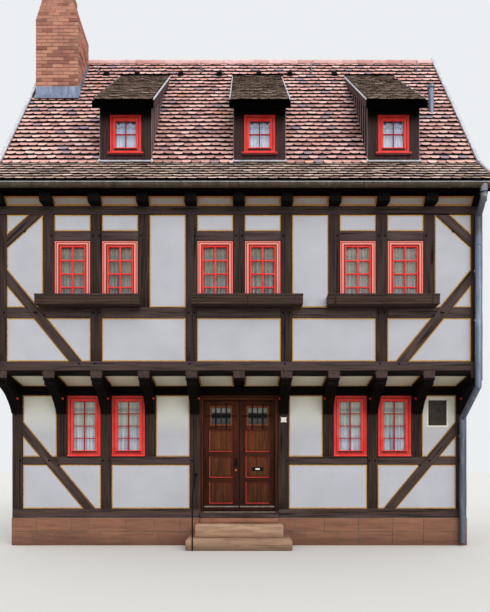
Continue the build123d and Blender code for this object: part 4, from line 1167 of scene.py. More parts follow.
class HOUSE_OT_timber_frame(bpy.types.Operator):
    """Hew the posts, plates, rails, braces, joists and brackets, and drive their pegs"""

    bl_idname = "house.timber_frame"
    bl_label = "Timber frame"

    # The members, each named with the axis that its grain follows
    members = {
        "ground_posts": 2,
        "upper_posts": 2,
        "ground_plates": 0,
        "ground_rails": 0,
        "upper_plates": 0,
        "upper_rails": 0,
        "joist_fillers": 0,
        "door_sill": 0,
        "ground_braces": 0,
        "upper_braces": 0,
        "floor_joists": 1,
    }

    def execute(self, context):
        chamfer, wave, length = sizes().chamfer, sizes().timber_wave, 0.24
        low, high = rail_shadow
        for seed, (node, axis) in enumerate(self.members.items()):
            piece = worked(node, node + "_hewn", chamfer, axis, length, wave, seed)
            dress(piece, "timber", "timber", "sheltered", "shaded", replaces=node, smooth=35)
            with Bench(piece) as bench:
                if node == "floor_joists":
                    bench.cut((0, 0, joist_shade_z), (0, 0, 1))
                # Posts take the darker timber for their tone; the band below the eaves takes it as
                # painted shade
                bench.mark("shaded", lambda c, n: axis == 2 or low < c.z < high)
                # Painted shade: near-black timber below the eaves and between the storeys
                bench.mark("sheltered", self.in_painted_shade)
        brackets = copy_of("jetty_brackets", "jetty_brackets_hewn")
        give_grain(brackets, 21)
        with Bench(brackets) as bench:
            bench.faces(lambda c, n: abs(n.x) > 0.9)
            bench.inset(0.012, 0.0, each=True)
            bench.inset(0.006, -0.006, each=True)
        # The brackets are wholly in the near-black timber of the painted shade below the jetty
        dress(brackets, "timber", "sheltered", replaces="jetty_brackets", smooth=35)
        self.pegs()
        self.studs()
        return {"FINISHED"}

    def in_painted_shade(self, c, n):
        """Faces that take the near-black painted shade: below the eaves, and between the storeys apart
        from the joists' ends.
        """
        at_joist = abs(c.x % post_pitch - post_pitch / 2) > joist_reach and c.z > joist_shade_z
        beam_end = abs(n.y) > 0.7 and abs(c.y) > outer_face_y and at_joist
        below_jetty = jetty_shadow[0] < c.z < jetty_shadow[1] and c.y < back_wall_y
        return eaves_shadow[0] < c.z < eaves_shadow[1] or (below_jetty and not beam_end)

    def pegs(self):
        """Oak pegs in the posts beside the ends of every rail, in the braces and along the sill."""
        # The pegs take the near-black timber of the painted shade
        template = give(rod("peg", (0, 0.03, 0), (0, -0.006, 0), 0.018, 8), "sheltered")
        inset, post_inset, sill_z, sill_top = 0.05, 0.075, 3.428, 3.6
        spots = []
        for node in ("ground_rails", "upper_rails"):
            for low, high, side, face in walls_of(part_boxes(node)):
                for x in (low.x - inset, high.x + inset):
                    spots.append(facing_spot(x, face, (low.z + high.z) / 2, side))
        for node in ("ground_braces", "upper_braces"):
            for low, high, side, face in walls_of(part_boxes(node)):
                spots.append(facing_spot((low.x + high.x) / 2, face, (low.z + high.z) / 2, side))
                if node == "upper_braces" and low.z < sill_top:
                    foot = low.x + inset if low.x > 0 else high.x - inset
                    spots.append(facing_spot(foot, face, sill_z, side))
        for low, high, side, face in walls_of(part_boxes("upper_posts")):
            if low.z < sill_top:
                spots.append(facing_spot(low.x + post_inset, face, sill_z, side))
        dress(repeat("pegs", template, spots, 9), "timber", smooth=40)

    def studs(self):
        """Red ended pegs through the jetty brackets."""
        template = give(rod("stud", (-0.5, 0, 0), (0.5, 0, 0), 0.5, 10, 0.2), "red")
        reach, width, from_face, from_top = 0.001, 0.042, 0.245, 0.272
        high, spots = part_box("jetty_brackets")[1], []
        for a, b in part_boxes("jetty_brackets"):
            place = move((a.x + b.x) / 2, high.y - from_face, high.z - from_top)
            spots.append(place @ stretch(b.x - a.x + 2 * reach, width, width))
        dress(repeat("bracket_pegs", template, spots, 4), "red_paint", smooth=40)


class HOUSE_OT_panels(bpy.types.Operator):
    """Plaster the panels and the coving, with an ochre line along the timbers"""

    bl_idname = "house.panels"
    bl_label = "Plaster panels"

    def execute(self, context):
        self.plaster("ground_infill", 1.1, lambda c, n: n.y * c.y > 0 and abs(n.y) > 0.9)
        self.plaster("upper_infill", 1.1, lambda c, n: n.y * c.y > 0 and abs(n.y) > 0.9)
        self.plaster("coving", 1.6, lambda c, n: -0.99 < n.z < -0.3)
        return {"FINISHED"}

    def plaster(self, node, share, outside):
        """One kind of panel, with its line a share of the usual width."""
        piece = copy_of(node, node + "_plaster", "plaster", "ochre", "soffit", "pale_ochre")
        bulge_width, bulge = 0.03, 0.004
        with Bench(piece) as bench:
            if node == "coving":
                bench.cut((0, 0, eaves_shade_z), (0, 0, 1))
            bench.mark("ochre", outside)
            bench.inset(sizes().ochre_line * share, 0.0, each=True)
            bench.mark("plaster")
            bench.inset(bulge_width, bulge, each=True)
            if node == "coving":
                self.coving_lines(bench)
        dress(piece, "plaster", replaces=node, smooth=30)

    def coving_lines(self, bench):
        """A line of paler ochre, painted light, along the coving's foot, none along its top, and
        near-black painted shade on its part at the eaves.
        """
        foot, top = 2.405, (2.94, 2.985)
        for side in (-1, 1):
            bench.cut((0, side * foot, 0), (0, 1, 0))
        # Painted light: the paler ochre along the coving's foot
        bench.mark("pale_ochre", lambda c, n: -0.999 < n.z < -0.3 and abs(c.y) < foot)
        bench.mark("plaster", lambda c, n: -0.99 < n.z < -0.3 and top[0] < abs(c.y) < top[1])
        # Painted shade: the coving's part below the eaves goes near black
        bench.mark("soffit", lambda c, n: c.z > eaves_shade_z)


class HOUSE_OT_windows(bpy.types.Operator):
    """Fit the moulded frames, casements and glazing bars of the windows"""

    bl_idname = "house.windows"
    bl_label = "Windows"

    # Profiles of the frames from the outside in: the width, depth and finish of each step
    # The gap steps are near-black painted shadow at the frames' edges, the groove steps dark red
    # painted shade
    ground_profile = (
        (0.010, 0.0, "gap"),
        (0.002, 0.008, "red"),
        (0.018, 0.0, "red"),
        (0.006, -0.006, "groove"),
        (0.019, 0.0, "red"),
        (0.009, -0.008, "groove"),
    )
    upper_profile = (
        (0.006, 0.0, "gap"),
        (0.002, 0.006, "red"),
        (0.006, 0.0, "red"),
        (0.014, 0.0, "faded"),
        (0.003, -0.010, "groove"),
        (0.006, 0.0, "groove"),
        (0.003, 0.010, "groove"),
        (0.034, 0.0, "faded"),
        (0.004, -0.010, "groove"),
        (0.012, -0.002, "groove"),
    )

    def execute(self, context):
        s, plain, moulded = sizes(), self.ground_profile, self.upper_profile
        kinds = (
            ("ground_window_frames", "red", plain, s.pane_rows, s.frame, s.casement),
            ("upper_window_frames", "faded", moulded, s.pane_rows, s.upper_frame, s.upper_casement),
            ("dormer_windows", "red", plain, s.dormer_rows, s.frame, s.dormer_casement),
        )
        for node, *kind in kinds:
            dormer = node == "dormer_windows"
            boxes = part_boxes(node)
            widest = max(high.x - low.x for low, high in boxes)
            cells = [(low, high) for low, high in boxes if high.x - low.x > 0.99 * widest]
            sill, proud, side_gap = (0.076, 0.02, 0.036) if dormer else (0, 0, 0)
            low, high = cells[0]
            template = self.window(high.x - low.x - 2 * side_gap, high.z - low.z - sill, dormer, *kind)
            spots = [
                facing_spot((low.x + high.x) / 2, face + (proud if side < 0 else 0), low.z + sill, side)
                for low, high, side, face in walls_of(cells)
            ]
            name = node.replace("frames", "joinery").replace("_windows", "_joinery")
            dress(repeat(name, template, spots, 2), "red_paint", replaces=node, smooth=30)
        coat("glass", "window_glass")
        coat("sky_glass", "dormer_glass")
        return {"FINISHED"}

    def window(self, width, height, dormer, outer, profile, rows, surround, casement):
        """One window, its front at y 0 and its foot at z 0: frame, casement, bars, drip and sill."""
        upstairs = outer == "faded"
        half, back, drop, depth = width / 2, 0.008, 0.045 if dormer else 0, 0.05 if dormer else 0.07
        looks = (outer, "groove", "gap", "red")
        parts = [moulded_ring("frame", (-half, back, -drop), (half, depth, height), profile, looks)]
        left, right, foot, head = surround - half, half - surround, surround - drop, height - surround
        # The sash's first step is dark red painted shade in the joint round it
        steps = (0.003, 0.002, "groove"), (casement - 0.013, 0.0, "red"), (0.010, -0.012, "red")
        corners = (left, 0.012, foot), (right, 0.05, head)
        parts.append(moulded_ring("sash", *corners, steps, ("red", "groove")))
        z0 = foot + casement
        parts += self.bars(left + casement, z0, right - casement, head - casement, rows, upstairs)
        # The drip and the painted shadow below it: inset, front, and foot and head from the panes' foot
        # down
        strips = (
            ("drip", 0.018, -0.007, 0.014, -0.002, outer),
            ("drip_shadow", 0.020, 0.004, 0.042, 0.014, "gap"),
        )
        for name, inset, y, low, high, look in strips:
            middle = z0 - (low + high) / 2
            strip = block(name, (left + inset, y, z0 - low), (right - inset, 0.03, z0 - high), look)
            with Bench(strip) as bench:
                bench.soften(lambda c, d: abs(d.x) > 0.9 and c.y < 0.01 and c.z > middle, 0.004, 2)
            parts.append(strip)
        # A painted shadow strip below the frame's head upstairs
        if upstairs:
            corners = (0.002 - half, -0.0015, height - 0.012), (half - 0.002, 0.012, height - 0.001)
            parts.append(block("head_shadow", *corners, "gap"))
        if dormer:
            sill = block("sill", (-half - 0.036, -0.02, -0.044), (half + 0.036, 0.03, -0.022), "red")
            # Dark red painted shadow below the dormer sill
            corners = (-half - 0.03, -0.012, -0.074), (half + 0.03, 0.03, -0.04)
            parts.append(block("rail", *corners, "groove"))
        else:
            sill = block("sill", (-half + 0.006, -0.026, 0.004), (half - 0.006, 0.012, 0.03), "red")
            # A painted shadow strip below the sill
            corners = (-half + 0.008, -0.012, -0.018), (half - 0.008, 0.012, 0.006)
            parts.append(block("sill_shadow", *corners, "gap"))
            with Bench(parts[-1]) as bench:
                bench.soften(lambda c, d: abs(d.x) > 0.9 and c.y < -0.01, 0.003)
        with Bench(sill) as bench:
            bench.soften(lambda c, d: abs(d.x) > 0.9 and c.y < -0.015, 0.006, 2)
        return join("window", parts + [sill])

    def bars(self, x0, z0, x1, z1, rows, upstairs):
        """One upright bar and a level bar between each two rows of panes."""
        bar = sizes().upper_bar_width if upstairs else sizes().bar_width
        level_half, front, level_front, back = bar * 0.42, 0.018, 0.0195, 0.045
        spans = [((-bar / 2, front, z0), (bar / 2, back, z1))]
        for row in range(1, rows):
            z = z0 + (z1 - z0) * row / rows
            spans.append(((x0, level_front, z - level_half), (x1, back, z + level_half)))
        parts = [block("bar", low, high, "red" if upstairs else "bar") for low, high in spans]
        for part in parts:
            with Bench(part) as bench:
                bench.faces(lambda c, n: n.y < -0.9)
                bench.inset(bar * 0.3, 0.006)
        return parts


class HOUSE_OT_curtains(bpy.types.Operator):
    """Hang a gathered net on a rod behind each window"""

    bl_idname = "house.curtains"
    bl_label = "Net curtains"

    def execute(self, context):
        attic_z, hang, radius, rods = 7, 0.012, 0.005, []
        for number, (low, high) in enumerate(part_boxes("net_curtains"), 1):
            attic = low.z > attic_z
            if attic:
                high.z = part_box("dormer_windows")[1].z - sizes().frame - sizes().dormer_casement
            self.curtain(f"net_curtain_{number}", low, high, number, 0.035 if attic else 0.0)
            y, z = (low.y + high.y) / 2, high.z - hang
            rods.append(rod("rod", (low.x, y, z), (high.x, y, z), radius, 8))
        dress(join("curtain_rods", rods), "bronze", "brass", smooth=50)
        return {"FINISHED"}

    def curtain(self, name, low, high, seed, scallop):
        """One net in upright folds that open towards its foot, scalloped along its head."""
        dice = random.Random(seed)
        clear()
        columns, rows, edge, thickness = 72, 10, 0.006, 0.0008
        bpy.ops.mesh.primitive_grid_add(x_subdivisions=columns, y_subdivisions=rows, size=1)
        piece = bpy.context.object
        piece.name = name
        folds = dice.randint(9, 12)
        depth = (high.y - low.y) / 2 - 0.002
        phase = [dice.uniform(0, math.tau) for _ in range(3)]
        co = points_of(piece)
        u, v = co[:, 0] + 0.5, co[:, 1] + 0.5
        swing = np.sin(math.tau * folds * u + phase[0] + 0.6 * np.sin(math.tau * 2 * u + phase[1]))
        loose = 0.55 + 0.45 * (1 - v) + 0.1 * np.sin(math.tau * 1.5 * u + phase[2])
        height = high.z - low.z - 2 * edge
        co[:, 0] = low.x + u * (high.x - low.x)
        co[:, 1] = (low.y + high.y) / 2 + depth * np.clip(loose, 0, 1) * swing
        co[:, 2] = low.z + edge + v * (height - scallop * (1 - abs(np.sin(math.tau * 2 * u))))
        move_points(piece, co)
        write_vectors(piece, "own", np.stack([u, 0 * u, v], 1) + [0, 0, seed])
        write_vectors(piece, "tone", np.stack([v, u, np.full(len(u), seed)], 1))
        modified(piece, "SOLIDIFY", thickness=thickness, offset=0)
        dress(piece, "net_curtain", "net", replaces="net_curtains", smooth=60)


def shingle(
    low_point, high_point, side, x0, x1, seed, blocked=None, start=0.0, course=None, seat=0.034,
    lean=0.13,
):
    """Places of a slope's tiles, row by row, cut narrower beside what stands in their way."""
    dice = random.Random(seed)
    pitch, length, course = sizes().tile_width, sizes().tile_length, course or sizes().tile_course
    narrowest_gap, narrowest_tile = 0.02, 0.03
    low_point, rise = Vector(low_point), Vector(high_point) - Vector(low_point)
    span = rise.length
    up, across = rise / span, Vector((-side, 0, 0))
    out = across.cross(up)
    base = Matrix((across, up, out)).transposed().to_4x4()
    spots = []
    for row in range(math.floor((span - start) / course + 0.4)):
        s = start + row * course
        foot = low_point + up * s
        gaps = [(x0, x1)]
        for a, b in blocked(foot.y) if blocked else ():
            halves = (half for c, d in gaps for half in ((c, min(d, a)), (max(c, b), d)))
            gaps = [half for half in halves if half[1] - half[0] > narrowest_gap]
        wander = dice.uniform(-0.006, 0.006)
        for a, b in gaps:
            for n in range(math.floor((a - x0) / pitch - 1), math.ceil((b - x0) / pitch + 1)):
                left = x0 + (n + 0.5 * (row % 2)) * pitch
                c, d = max(a, left), min(b, left + pitch)
                slip = [dice.gauss(0, 1) for _ in range(5)]
                if d - c < narrowest_tile:
                    continue
                shape = stretch((d - c) / pitch, min(length, span - s) / length, 1)
                tip = turn(-lean + 0.012 * slip[0], "X") @ turn(0.02 * slip[1])
                tip = tip @ turn(0.016 * slip[2], "Y")
                place = foot + up * (wander + 0.006 * slip[4]) + out * (seat + 0.002 * abs(slip[3]))
                place.x = (c + d) / 2
                spots.append(move(*place) @ base @ tip @ shape)
    return spots


def tile(top, edge="tile_edge", thickness=None):
    """One beaver tail tile: its rounded lower edge at y 0 and its underside at z 0."""
    half, length, rounding = sizes().tile_width / 2 - 0.002, sizes().tile_length, 0.06
    piece = block("tile", (-half, 0, 0), (half, length, thickness or sizes().tile_thickness), top, edge)
    with Bench(piece) as bench:
        bench.soften(lambda c, d: abs(d.z) > 0.9 and c.y < 0.01, rounding, 2)
        bench.mark(edge, lambda c, n: n.z < 0.5)
    return piece


class HOUSE_OT_roof(bpy.types.Operator):
    """Tile both slopes, the sprockets and the ridge, and cover the verges"""

    bl_idname = "house.roof"
    bl_label = "Roof"

    def execute(self, context):
        # The roof boards under the tiles are near black: painted shadow in the gaps between them
        coat("underlay", "roof_eaves", "roof_front_strips", "roof_front_top", "roof_back")
        coat("floor_edge", "attic_floor")
        self.slopes()
        self.ridge()
        self.verges()
        self.vents()
        self.hooks()
        return {"FINISHED"}

    def slopes(self):
        """Tiles of the main slopes and of the flatter sprockets at the eaves."""
        low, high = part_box("roof_eaves")
        edge, overhang, eaves_course, lap = 0.035, 0.09, 0.1515, 0.03
        x0, x1 = low.x + edge, high.x - edge
        for side, word, blocked in ((-1, "front", front_obstacles), (1, "back", chimney_only)):
            foot, bend = (0, side * high.y, roof_foot_z), (0, side * kink_y, kink_z)
            eaves = shingle(foot, bend, side, x0, x1, 11, start=-overhang, course=eaves_course)
            dress(repeat(f"eaves_tiles_{word}", tile("eaves_clay"), eaves, 12), "clay_tile")
            main = shingle(bend, (0, 0, ridge_z), side, x0, x1, 13 + side, blocked, start=-lap)
            dress(repeat(f"roof_tiles_{word}", tile("roof_clay"), main, 14 + side), "clay_tile")

    def ridge(self):
        """Half round ridge tiles, each lapping the next."""
        low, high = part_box("ridge_tiles")
        radius, length = min((high.y - low.y) / 2, 0.125), sizes().ridge_length
        lap, narrowing, thickness, seat = 0.05, 0.88, 0.016, 0.004
        clear()
        along = (0, math.pi / 2, 0)
        bpy.ops.mesh.primitive_cylinder_add(
            vertices=20, radius=radius, depth=length + lap, end_fill_type="NOTHING", rotation=along
        )
        template = settle()
        with Bench(template) as bench:
            bench.cut((0, 0, -0.02), (0, 0, 1), one_side=True)
            bench.edges(lambda c, d: c.x > length / 2)
            bpy.ops.transform.resize(value=(1, narrowing, narrowing))
        give(modified(template, "SOLIDIFY", thickness=thickness, offset=-1), "ridge_clay")
        count = round((high.x - low.x) / length)
        step = (high.x - low.x - lap) / count
        dice, spots = random.Random(8), []
        for n in range(count):
            place = move(low.x + lap / 2 + (n + 0.5) * step, 0, high.z - radius - seat)
            spots.append(place @ turn(dice.gauss(0, 0.008)) @ turn(dice.gauss(0, 0.01), "X"))
        dress(repeat("ridge_caps", template, spots, 6), "clay_tile", replaces="ridge_tiles", smooth=50)

    def verges(self):
        """Boards along the verges, capped by a pale strip of metal over the ends of the tiles."""
        piece = copy_of("verge_boards", "verge_boards_worn")
        give_grain(piece, 31)
        dress(piece, "dormer_boards", "board", replaces="verge_boards")
        board_rise, cap, width, foot_y = 0.04, 0.034, 0.058, -3.36
        lift, end = board_rise + cap / 2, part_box("verge_boards")[1].x
        flat = math.atan2(kink_z - roof_foot_z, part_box("roof_eaves")[1].y - kink_y)
        half_turn = (flat + roof_angle) / 2
        kink_lift = lift / math.cos(half_turn) * math.cos(roof_angle - flat) * 0.6
        front = [
            (foot_y - lift * math.sin(flat), roof_foot_z + lift * math.cos(flat)),
            (-kink_y - lift * math.sin(half_turn), kink_z + kink_lift),
            (0, ridge_z + lift / math.cos(roof_angle)),
        ]
        path = front + [(-y, z) for y, z in reversed(front[:2])]
        strips = [ribbon("strip", x, x + width, path, cap) for x in (-end, end - width)]
        dress(join("verge_caps", strips), "zinc", "flashing")

    def vents(self):
        """A row of hooded vent tiles below the ridge."""
        row_y, columns = -0.40, (107, 137.5, 181, 219.5, 258.8, 289.7, 334)
        clear()
        bpy.ops.mesh.primitive_uv_sphere_add(segments=12, ring_count=8, radius=0.075)
        template = bpy.context.object
        with Bench(template) as bench:
            bench.cut((0, 0, -0.01), (0, 0, 1), one_side=True)
            bench.cut((0, -0.035, 0), (0, 1, 0), one_side=True)
            bench.all()
            bpy.ops.transform.resize(value=(1, 2.2, 0.95))
        give(modified(template, "SOLIDIFY", thickness=0.01, offset=-1), "tile_edge")
        scale = (row_y - eye.y) / focal_pixels
        spots = [self.on_slope((column - vanish_column) * scale + eye.x, row_y) for column in columns]
        dress(repeat("vent_tiles", template, spots, 15), "clay_tile", smooth=60)

    def on_slope(self, x, y, lift=0.045):
        """A place on the tiles of the front slope, turned to lie on it."""
        out = Vector((0, -math.sin(roof_angle), math.cos(roof_angle)))
        place = Vector((x, y, ridge_z + y * math.tan(roof_angle))) + out * lift
        return move(*place) @ turn(roof_angle, "X")

    def hooks(self):
        """Iron ladder hooks below the ridge."""
        line = (0, 0.16, -0.005), (0, -0.06, 0.014), (0, -0.07, 0.06), (0, 0.09, 0.172)
        places = (-3.25, -0.36), (-0.89, -0.34), (1.63, -0.34), (4.06, -0.3)
        plate = block("plate", (-0.018, 0.0, -0.006), (0.018, 0.2, 0.006), "iron")
        with Bench(plate) as bench:
            bench.faces(lambda c, n: n.z > 0.9)
            bench.inset(0.004, 0.003)
        template = join("hook", [give(bent_rod("hook", line, 0.012, 0.02), "zinc"), plate])
        spots = [self.on_slope(x, y, 0.056) for x, y in places]
        dress(repeat("ladder_hooks", template, spots, 16), "dark_iron", smooth=50)


class HOUSE_OT_dormers(bpy.types.Operator):
    """Board the dormers, tile their roofs and fit their flashings"""

    bl_idname = "house.dormers"
    bl_label = "Dormers"

    def execute(self, context):
        coat("board_dark", "dormer_fronts")
        coat("board_upright", "dormer_cheeks")
        self.battens()
        self.roofs()
        self.flashings()
        return {"FINISHED"}

    def battens(self):
        """Battens over the joints of the cheeks' boards."""
        template = block("batten", (-0.5, 0, 0), (0.5, 1, 1), "batten")
        with Bench(template) as bench:
            bench.soften(lambda c, d: abs(d.z) > 0.9 and c.y < 0.5, 0.2)
        pitch, width, depth, proud, over_roof = 0.21, 0.05, 0.018, 0.014, 0.03
        ahead, short = 0.08, 0.35
        spots, (eave_y, eave_z) = [], dormer_eave
        right_faces = [high.x for _, high in part_boxes("dormer_fronts")]
        for low, high in part_boxes("dormer_cheeks"):
            out = 1 if any(abs(high.x - x) < 0.002 for x in right_faces) else -1
            outer = high.x if out == 1 else low.x
            y = low.y - ahead
            while y < high.y - short:
                top, foot = eave_z + (y - eave_y) * math.tan(dormer_angle), roof_height(y) + over_roof
                place = move(outer + out * proud, y, foot)
                spots.append(place @ turn(out * math.pi / 2) @ stretch(width, depth, top - foot))
                y += pitch
        dress(repeat("dormer_battens", template, spots, 41), "dormer_boards")

    def roofs(self):
        """Mossy tiles between pale strips along both verges, with boards below them."""
        piece = copy_of("dormer_roofs", "dormer_roof_boards", "underlay", "board_level", "soffit")
        with Bench(piece) as bench:
            bench.mark("board_level", lambda c, n: abs(n.x) > 0.9)
            # Painted shade: the front edges and undersides of the dormer roofs go near black
            bench.mark("soffit", lambda c, n: n.y < -0.5 or n.z < -0.3)
        dress(piece, "dormer_boards", replaces="dormer_roofs")
        low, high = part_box("dormer_roofs")
        slant = Vector((0, math.cos(dormer_angle), math.sin(dormer_angle)))
        foot = Vector((0, low.y, high.z - (high.y - low.y) * math.tan(dormer_angle)))
        crest = Vector((0, high.y, high.z))
        spots, strips, cap, width, lap = [], [], 0.044, 0.03, 0.07
        course = dict(start=-0.06, course=0.205, seat=0.026, lean=0.1)
        lift = Vector((0, -slant.z, slant.y)) * cap * 0.5
        path = [point.yz for point in (foot + lift + slant * lap, crest + lift)]
        edge = width * 0.8
        for n, (a, b) in enumerate(part_boxes("dormer_roofs")):
            spots += shingle(foot, crest, -1, a.x + edge, b.x - edge, 30 + n, **course)
            strips += [ribbon("strip", x, x + width, path, cap) for x in (a.x, b.x - width)]
        tiles = repeat("dormer_tiles", tile("mossy_clay", "mossy_edge", 0.024), spots, 33)
        dress(tiles, "clay_tile")
        piece = join("dormer_verge_strips", strips)
        with Bench(piece) as bench:
            bench.soften(lambda c, d: abs(d.x) < 0.5 and abs(d.y) > 0.5, 0.008)
        dress(piece, "zinc", "flashing")

    def flashings(self):
        """A dressed metal apron at the foot of each front, turned up at its corners."""
        apron = (-2.735, 7.312), (-2.7, 7.348), (-2.634, 7.372)
        corner = (-2.66, 7.35), (-2.628, 7.41)
        beyond, corner_beyond, corner_half, parts = 0.01, 0.012, 0.014, []
        for low, high in part_boxes("dormer_fronts"):
            parts.append(ribbon("apron", low.x - beyond, high.x + beyond, apron, 0.012))
            for x in (low.x - corner_beyond, high.x + corner_beyond):
                parts.append(ribbon("corner", x - corner_half, x + corner_half, corner, 0.01))
        piece = join("dormer_flashings", parts)
        with Bench(piece) as bench:
            bench.slices(0, -2.8, 3.6, 0.11)
        dress(roughen(piece, 0.012, 0.09), "zinc", "flashing", smooth=40)


class HOUSE_OT_chimney(bpy.types.Operator):
    """Lay the bricks of the chimney and dress lead round its foot"""

    bl_idname = "house.chimney"
    bl_label = "Chimney"

    def execute(self, context):
        shell = copy_of("chimney", "chimney_core", "mortar", "step_stone")
        low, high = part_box("chimney")
        cap = 0.101
        give_grain(shell, 51)
        with Bench(shell) as bench:
            bench.mark("step_stone", lambda c, n: c.z > high.z - cap)
        dress(shell, "brick", replaces="chimney")
        self.bricks(low, high)
        self.leads(low, high)
        return {"FINISHED"}

    def bricks(self, low, high):
        """Bricks in running bond on the stack, and stepped courses on its shoulders."""
        template = block("brick", (-0.5, -0.5, -0.5), (0.5, 0.5, 0.5), "brick")
        with Bench(template) as bench:
            bench.soften(lambda c, d: c.y < -0.49 or (abs(c.y) < 0.4 and abs(d.y) > 0.9), 0.05)
        shoulder, top = 11.3, high.z - 0.1
        neck, neck_half_x, neck_half_y = Vector((-4.0325, -0.656)), 0.25, 0.27
        height, length, joint = sizes().brick_height, sizes().brick_length, sizes().joint
        proud, deep, shortest, uneven = 0.008, 0.06, 0.05, 0.003
        dice, spots, row, z = random.Random(52), [], 0, low.z
        while z + height <= top + 0.001:
            share = max(0.0, (z + height / 2 - shoulder) / (top - shoulder))
            centre = Vector(((low.x + high.x) / 2, (low.y + high.y) / 2)).lerp(neck, share)
            half_x = (high.x - low.x) / 2 * (1 - share) + neck_half_x * share
            half_y = (high.y - low.y) / 2 * (1 - share) + neck_half_y * share
            for side in range(4):
                half, face = (half_x, half_y) if side % 2 == 0 else (half_y, half_x)
                course = move(centre.x, centre.y, z + height / 2) @ turn(side * math.pi / 2)
                at, first = -half, length * (0.5 if (row + side) % 2 else 1)
                while at < half - 0.01:
                    wide = min(first, half - at)
                    first = length
                    if half - at - wide < shortest:
                        wide = half - at
                    y = -face + deep / 2 - proud + dice.uniform(-uneven, uneven)
                    tilt = turn(dice.gauss(0, 0.008), "Y")
                    spot = course @ move(at + wide / 2, y, 0) @ tilt
                    spot = spot @ stretch(wide - joint, deep, height - joint)
                    if z + height > roof_height(spot.to_translation().y):
                        spots.append(spot)
                    at += wide
            z += height
            row += 1
        dress(repeat("chimney_bricks", template, spots, 53), "brick")

    def leads(self, low, high):
        """A lead apron below the stack and stepped upstands up its sides."""
        foot, right = roof_height(low.y), high.x + 0.05
        outs, rises = (-0.14, -0.03, -0.016, -0.014), (-0.06, 0.1, 0.14, 0.27)
        path = [(low.y + out, foot + rise) for out, rise in zip(outs, rises)]
        parts = [ribbon("apron", low.x, right, path, 0.009)]
        with Bench(parts[0]) as bench:
            bench.slices(0, low.x, right, 0.09)
        y, pitch, width, below, above = low.y - 0.01, 0.1, 0.11, 0.06, 0.3
        while y < high.y - 0.06:
            z = roof_height(y)
            corners = (high.x + 0.006, y, z - below), (high.x + 0.016, y + width, z + above)
            parts.append(block("step", *corners))
            with Bench(parts[-1]) as bench:
                bench.soften(lambda c, d: abs(d.x) < 0.5, 0.003)
            y += pitch
        dress(roughen(join("chimney_leads", parts), 0.01, 0.08), "zinc", "lead", smooth=40)


class HOUSE_OT_drainage(bpy.types.Operator):
    """Hang the gutters on straps and ring the pipes with collars"""

    bl_idname = "house.drainage"
    bl_label = "Gutters and pipes"

    def execute(self, context):
        coat("gutter", "gutters")
        coat("zinc", "downpipes", "vent_pipe")
        low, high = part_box("gutters")
        self.rims(low, high)
        self.straps(low, high, "straps", 0.7, 0.026, 0.003, "gutter")
        self.straps(low, high, "seams", 2.27, 0.012, 0.002, "gap")
        self.collars()
        self.funnel_rings()
        return {"FINISHED"}

    def rims(self, low, high):
        """Rolled front edges of the gutters in pale metal as a painted highlight, with a near-black
        painted shadow below them.
        """
        rolls = []
        # The rim is pale, a painted highlight on the rolled edge; the rod below it is painted shadow
        kinds = ("rim", 0.009, 0.003, 0.0085, "flashing"), ("rim_shadow", 0.0065, -0.012, 0.0055, "gap")
        for side in (-1, 1):
            for name, inside, rise, radius, look in kinds:
                y, z = side * (high.y - inside), high.z + rise
                rolls.append(give(rod(name, (low.x, y, z), (high.x, y, z), radius, 10, 0.1), look))
        dress(join("gutter_rims", rolls), "zinc", smooth=50)

    def straps(self, low, high, name, gap, wide, lift, look):
        """Straps that hold the gutters, or the seams between their lengths."""
        radius, thickness, flatness, end_gap, beside_pipe = 0.07, 0.004, 0.985, 0.15, 0.1
        turns = [math.radians(a) for a in range(180, 361, 20)]
        reach = (radius + lift) * flatness
        path = [(reach * math.cos(a), reach * math.sin(a)) for a in turns]
        template = give(ribbon("strap", -wide / 2, wide / 2, path, thickness), look)
        length = high.x - low.x - 2 * end_gap
        count = round(length / gap)
        places = [low.x + end_gap + length * n / count for n in range(count + 1)]
        spots = [
            facing_spot(x, side * (high.y - radius), high.z, side)
            for side in (-1, 1)
            for x in places
            if abs(x - pipe_x) > beside_pipe
        ]
        dress(repeat("gutter_" + name, template, spots, 60), "zinc", smooth=50)

    def collars(self):
        """Rings at the joints of the pipes."""
        half, radius = 0.014, 0.0625
        template = rod("collar", (0, 0, -half), (0, 0, half), radius, 20, 0.02)
        with Bench(template) as bench:
            bench.soften(lambda c, d: abs(d.z) < 0.1 and abs(abs(c.z) - half) < 0.001, 0.004)
        spots = []
        for z in (5.1, 4.2, 2.14):
            spots += [move(pipe_x, -abs(self.pipe_place(z)), z), move(-pipe_x, back_pipe_y, z)]
        dress(repeat("pipe_collars", give(template, "flashing"), spots, 61), "zinc", smooth=50)

    def funnel_rings(self):
        """Dark rings round the funnels' feet."""
        z, half, reach, proud, rings = 6.395, 0.011, 0.045, 0.002, []
        corners = points_of(frame["nodes"]["downpipes"])
        for side in (-1, 1):
            near = np.array([v for v in corners if v[1] * side > 0 and abs(v[2] - z) < reach])
            low, high = near.min(0), near.max(0)
            x, y, _ = (low + high) / 2
            radius = (high[0] - low[0]) / 2 + proud
            rings.append(rod("ring", (x, y, z - half), (x, y, z + half), radius, 20, 0.05))
        dress(join("funnel_rings", rings), "dark_iron", "iron", smooth=50)

    def pipe_place(self, z):
        """How far out the front pipe hangs at a height."""
        reach, ring = 0.6, 24
        corners = points_of(frame["nodes"]["downpipes"])
        inside = [v for v in corners if v[0] > 0 and abs(v[2] - z) < reach]
        near = [v[1] for v in sorted(inside, key=lambda v: abs(v[2] - z))[:ring]]
        return (min(near) + max(near)) / 2


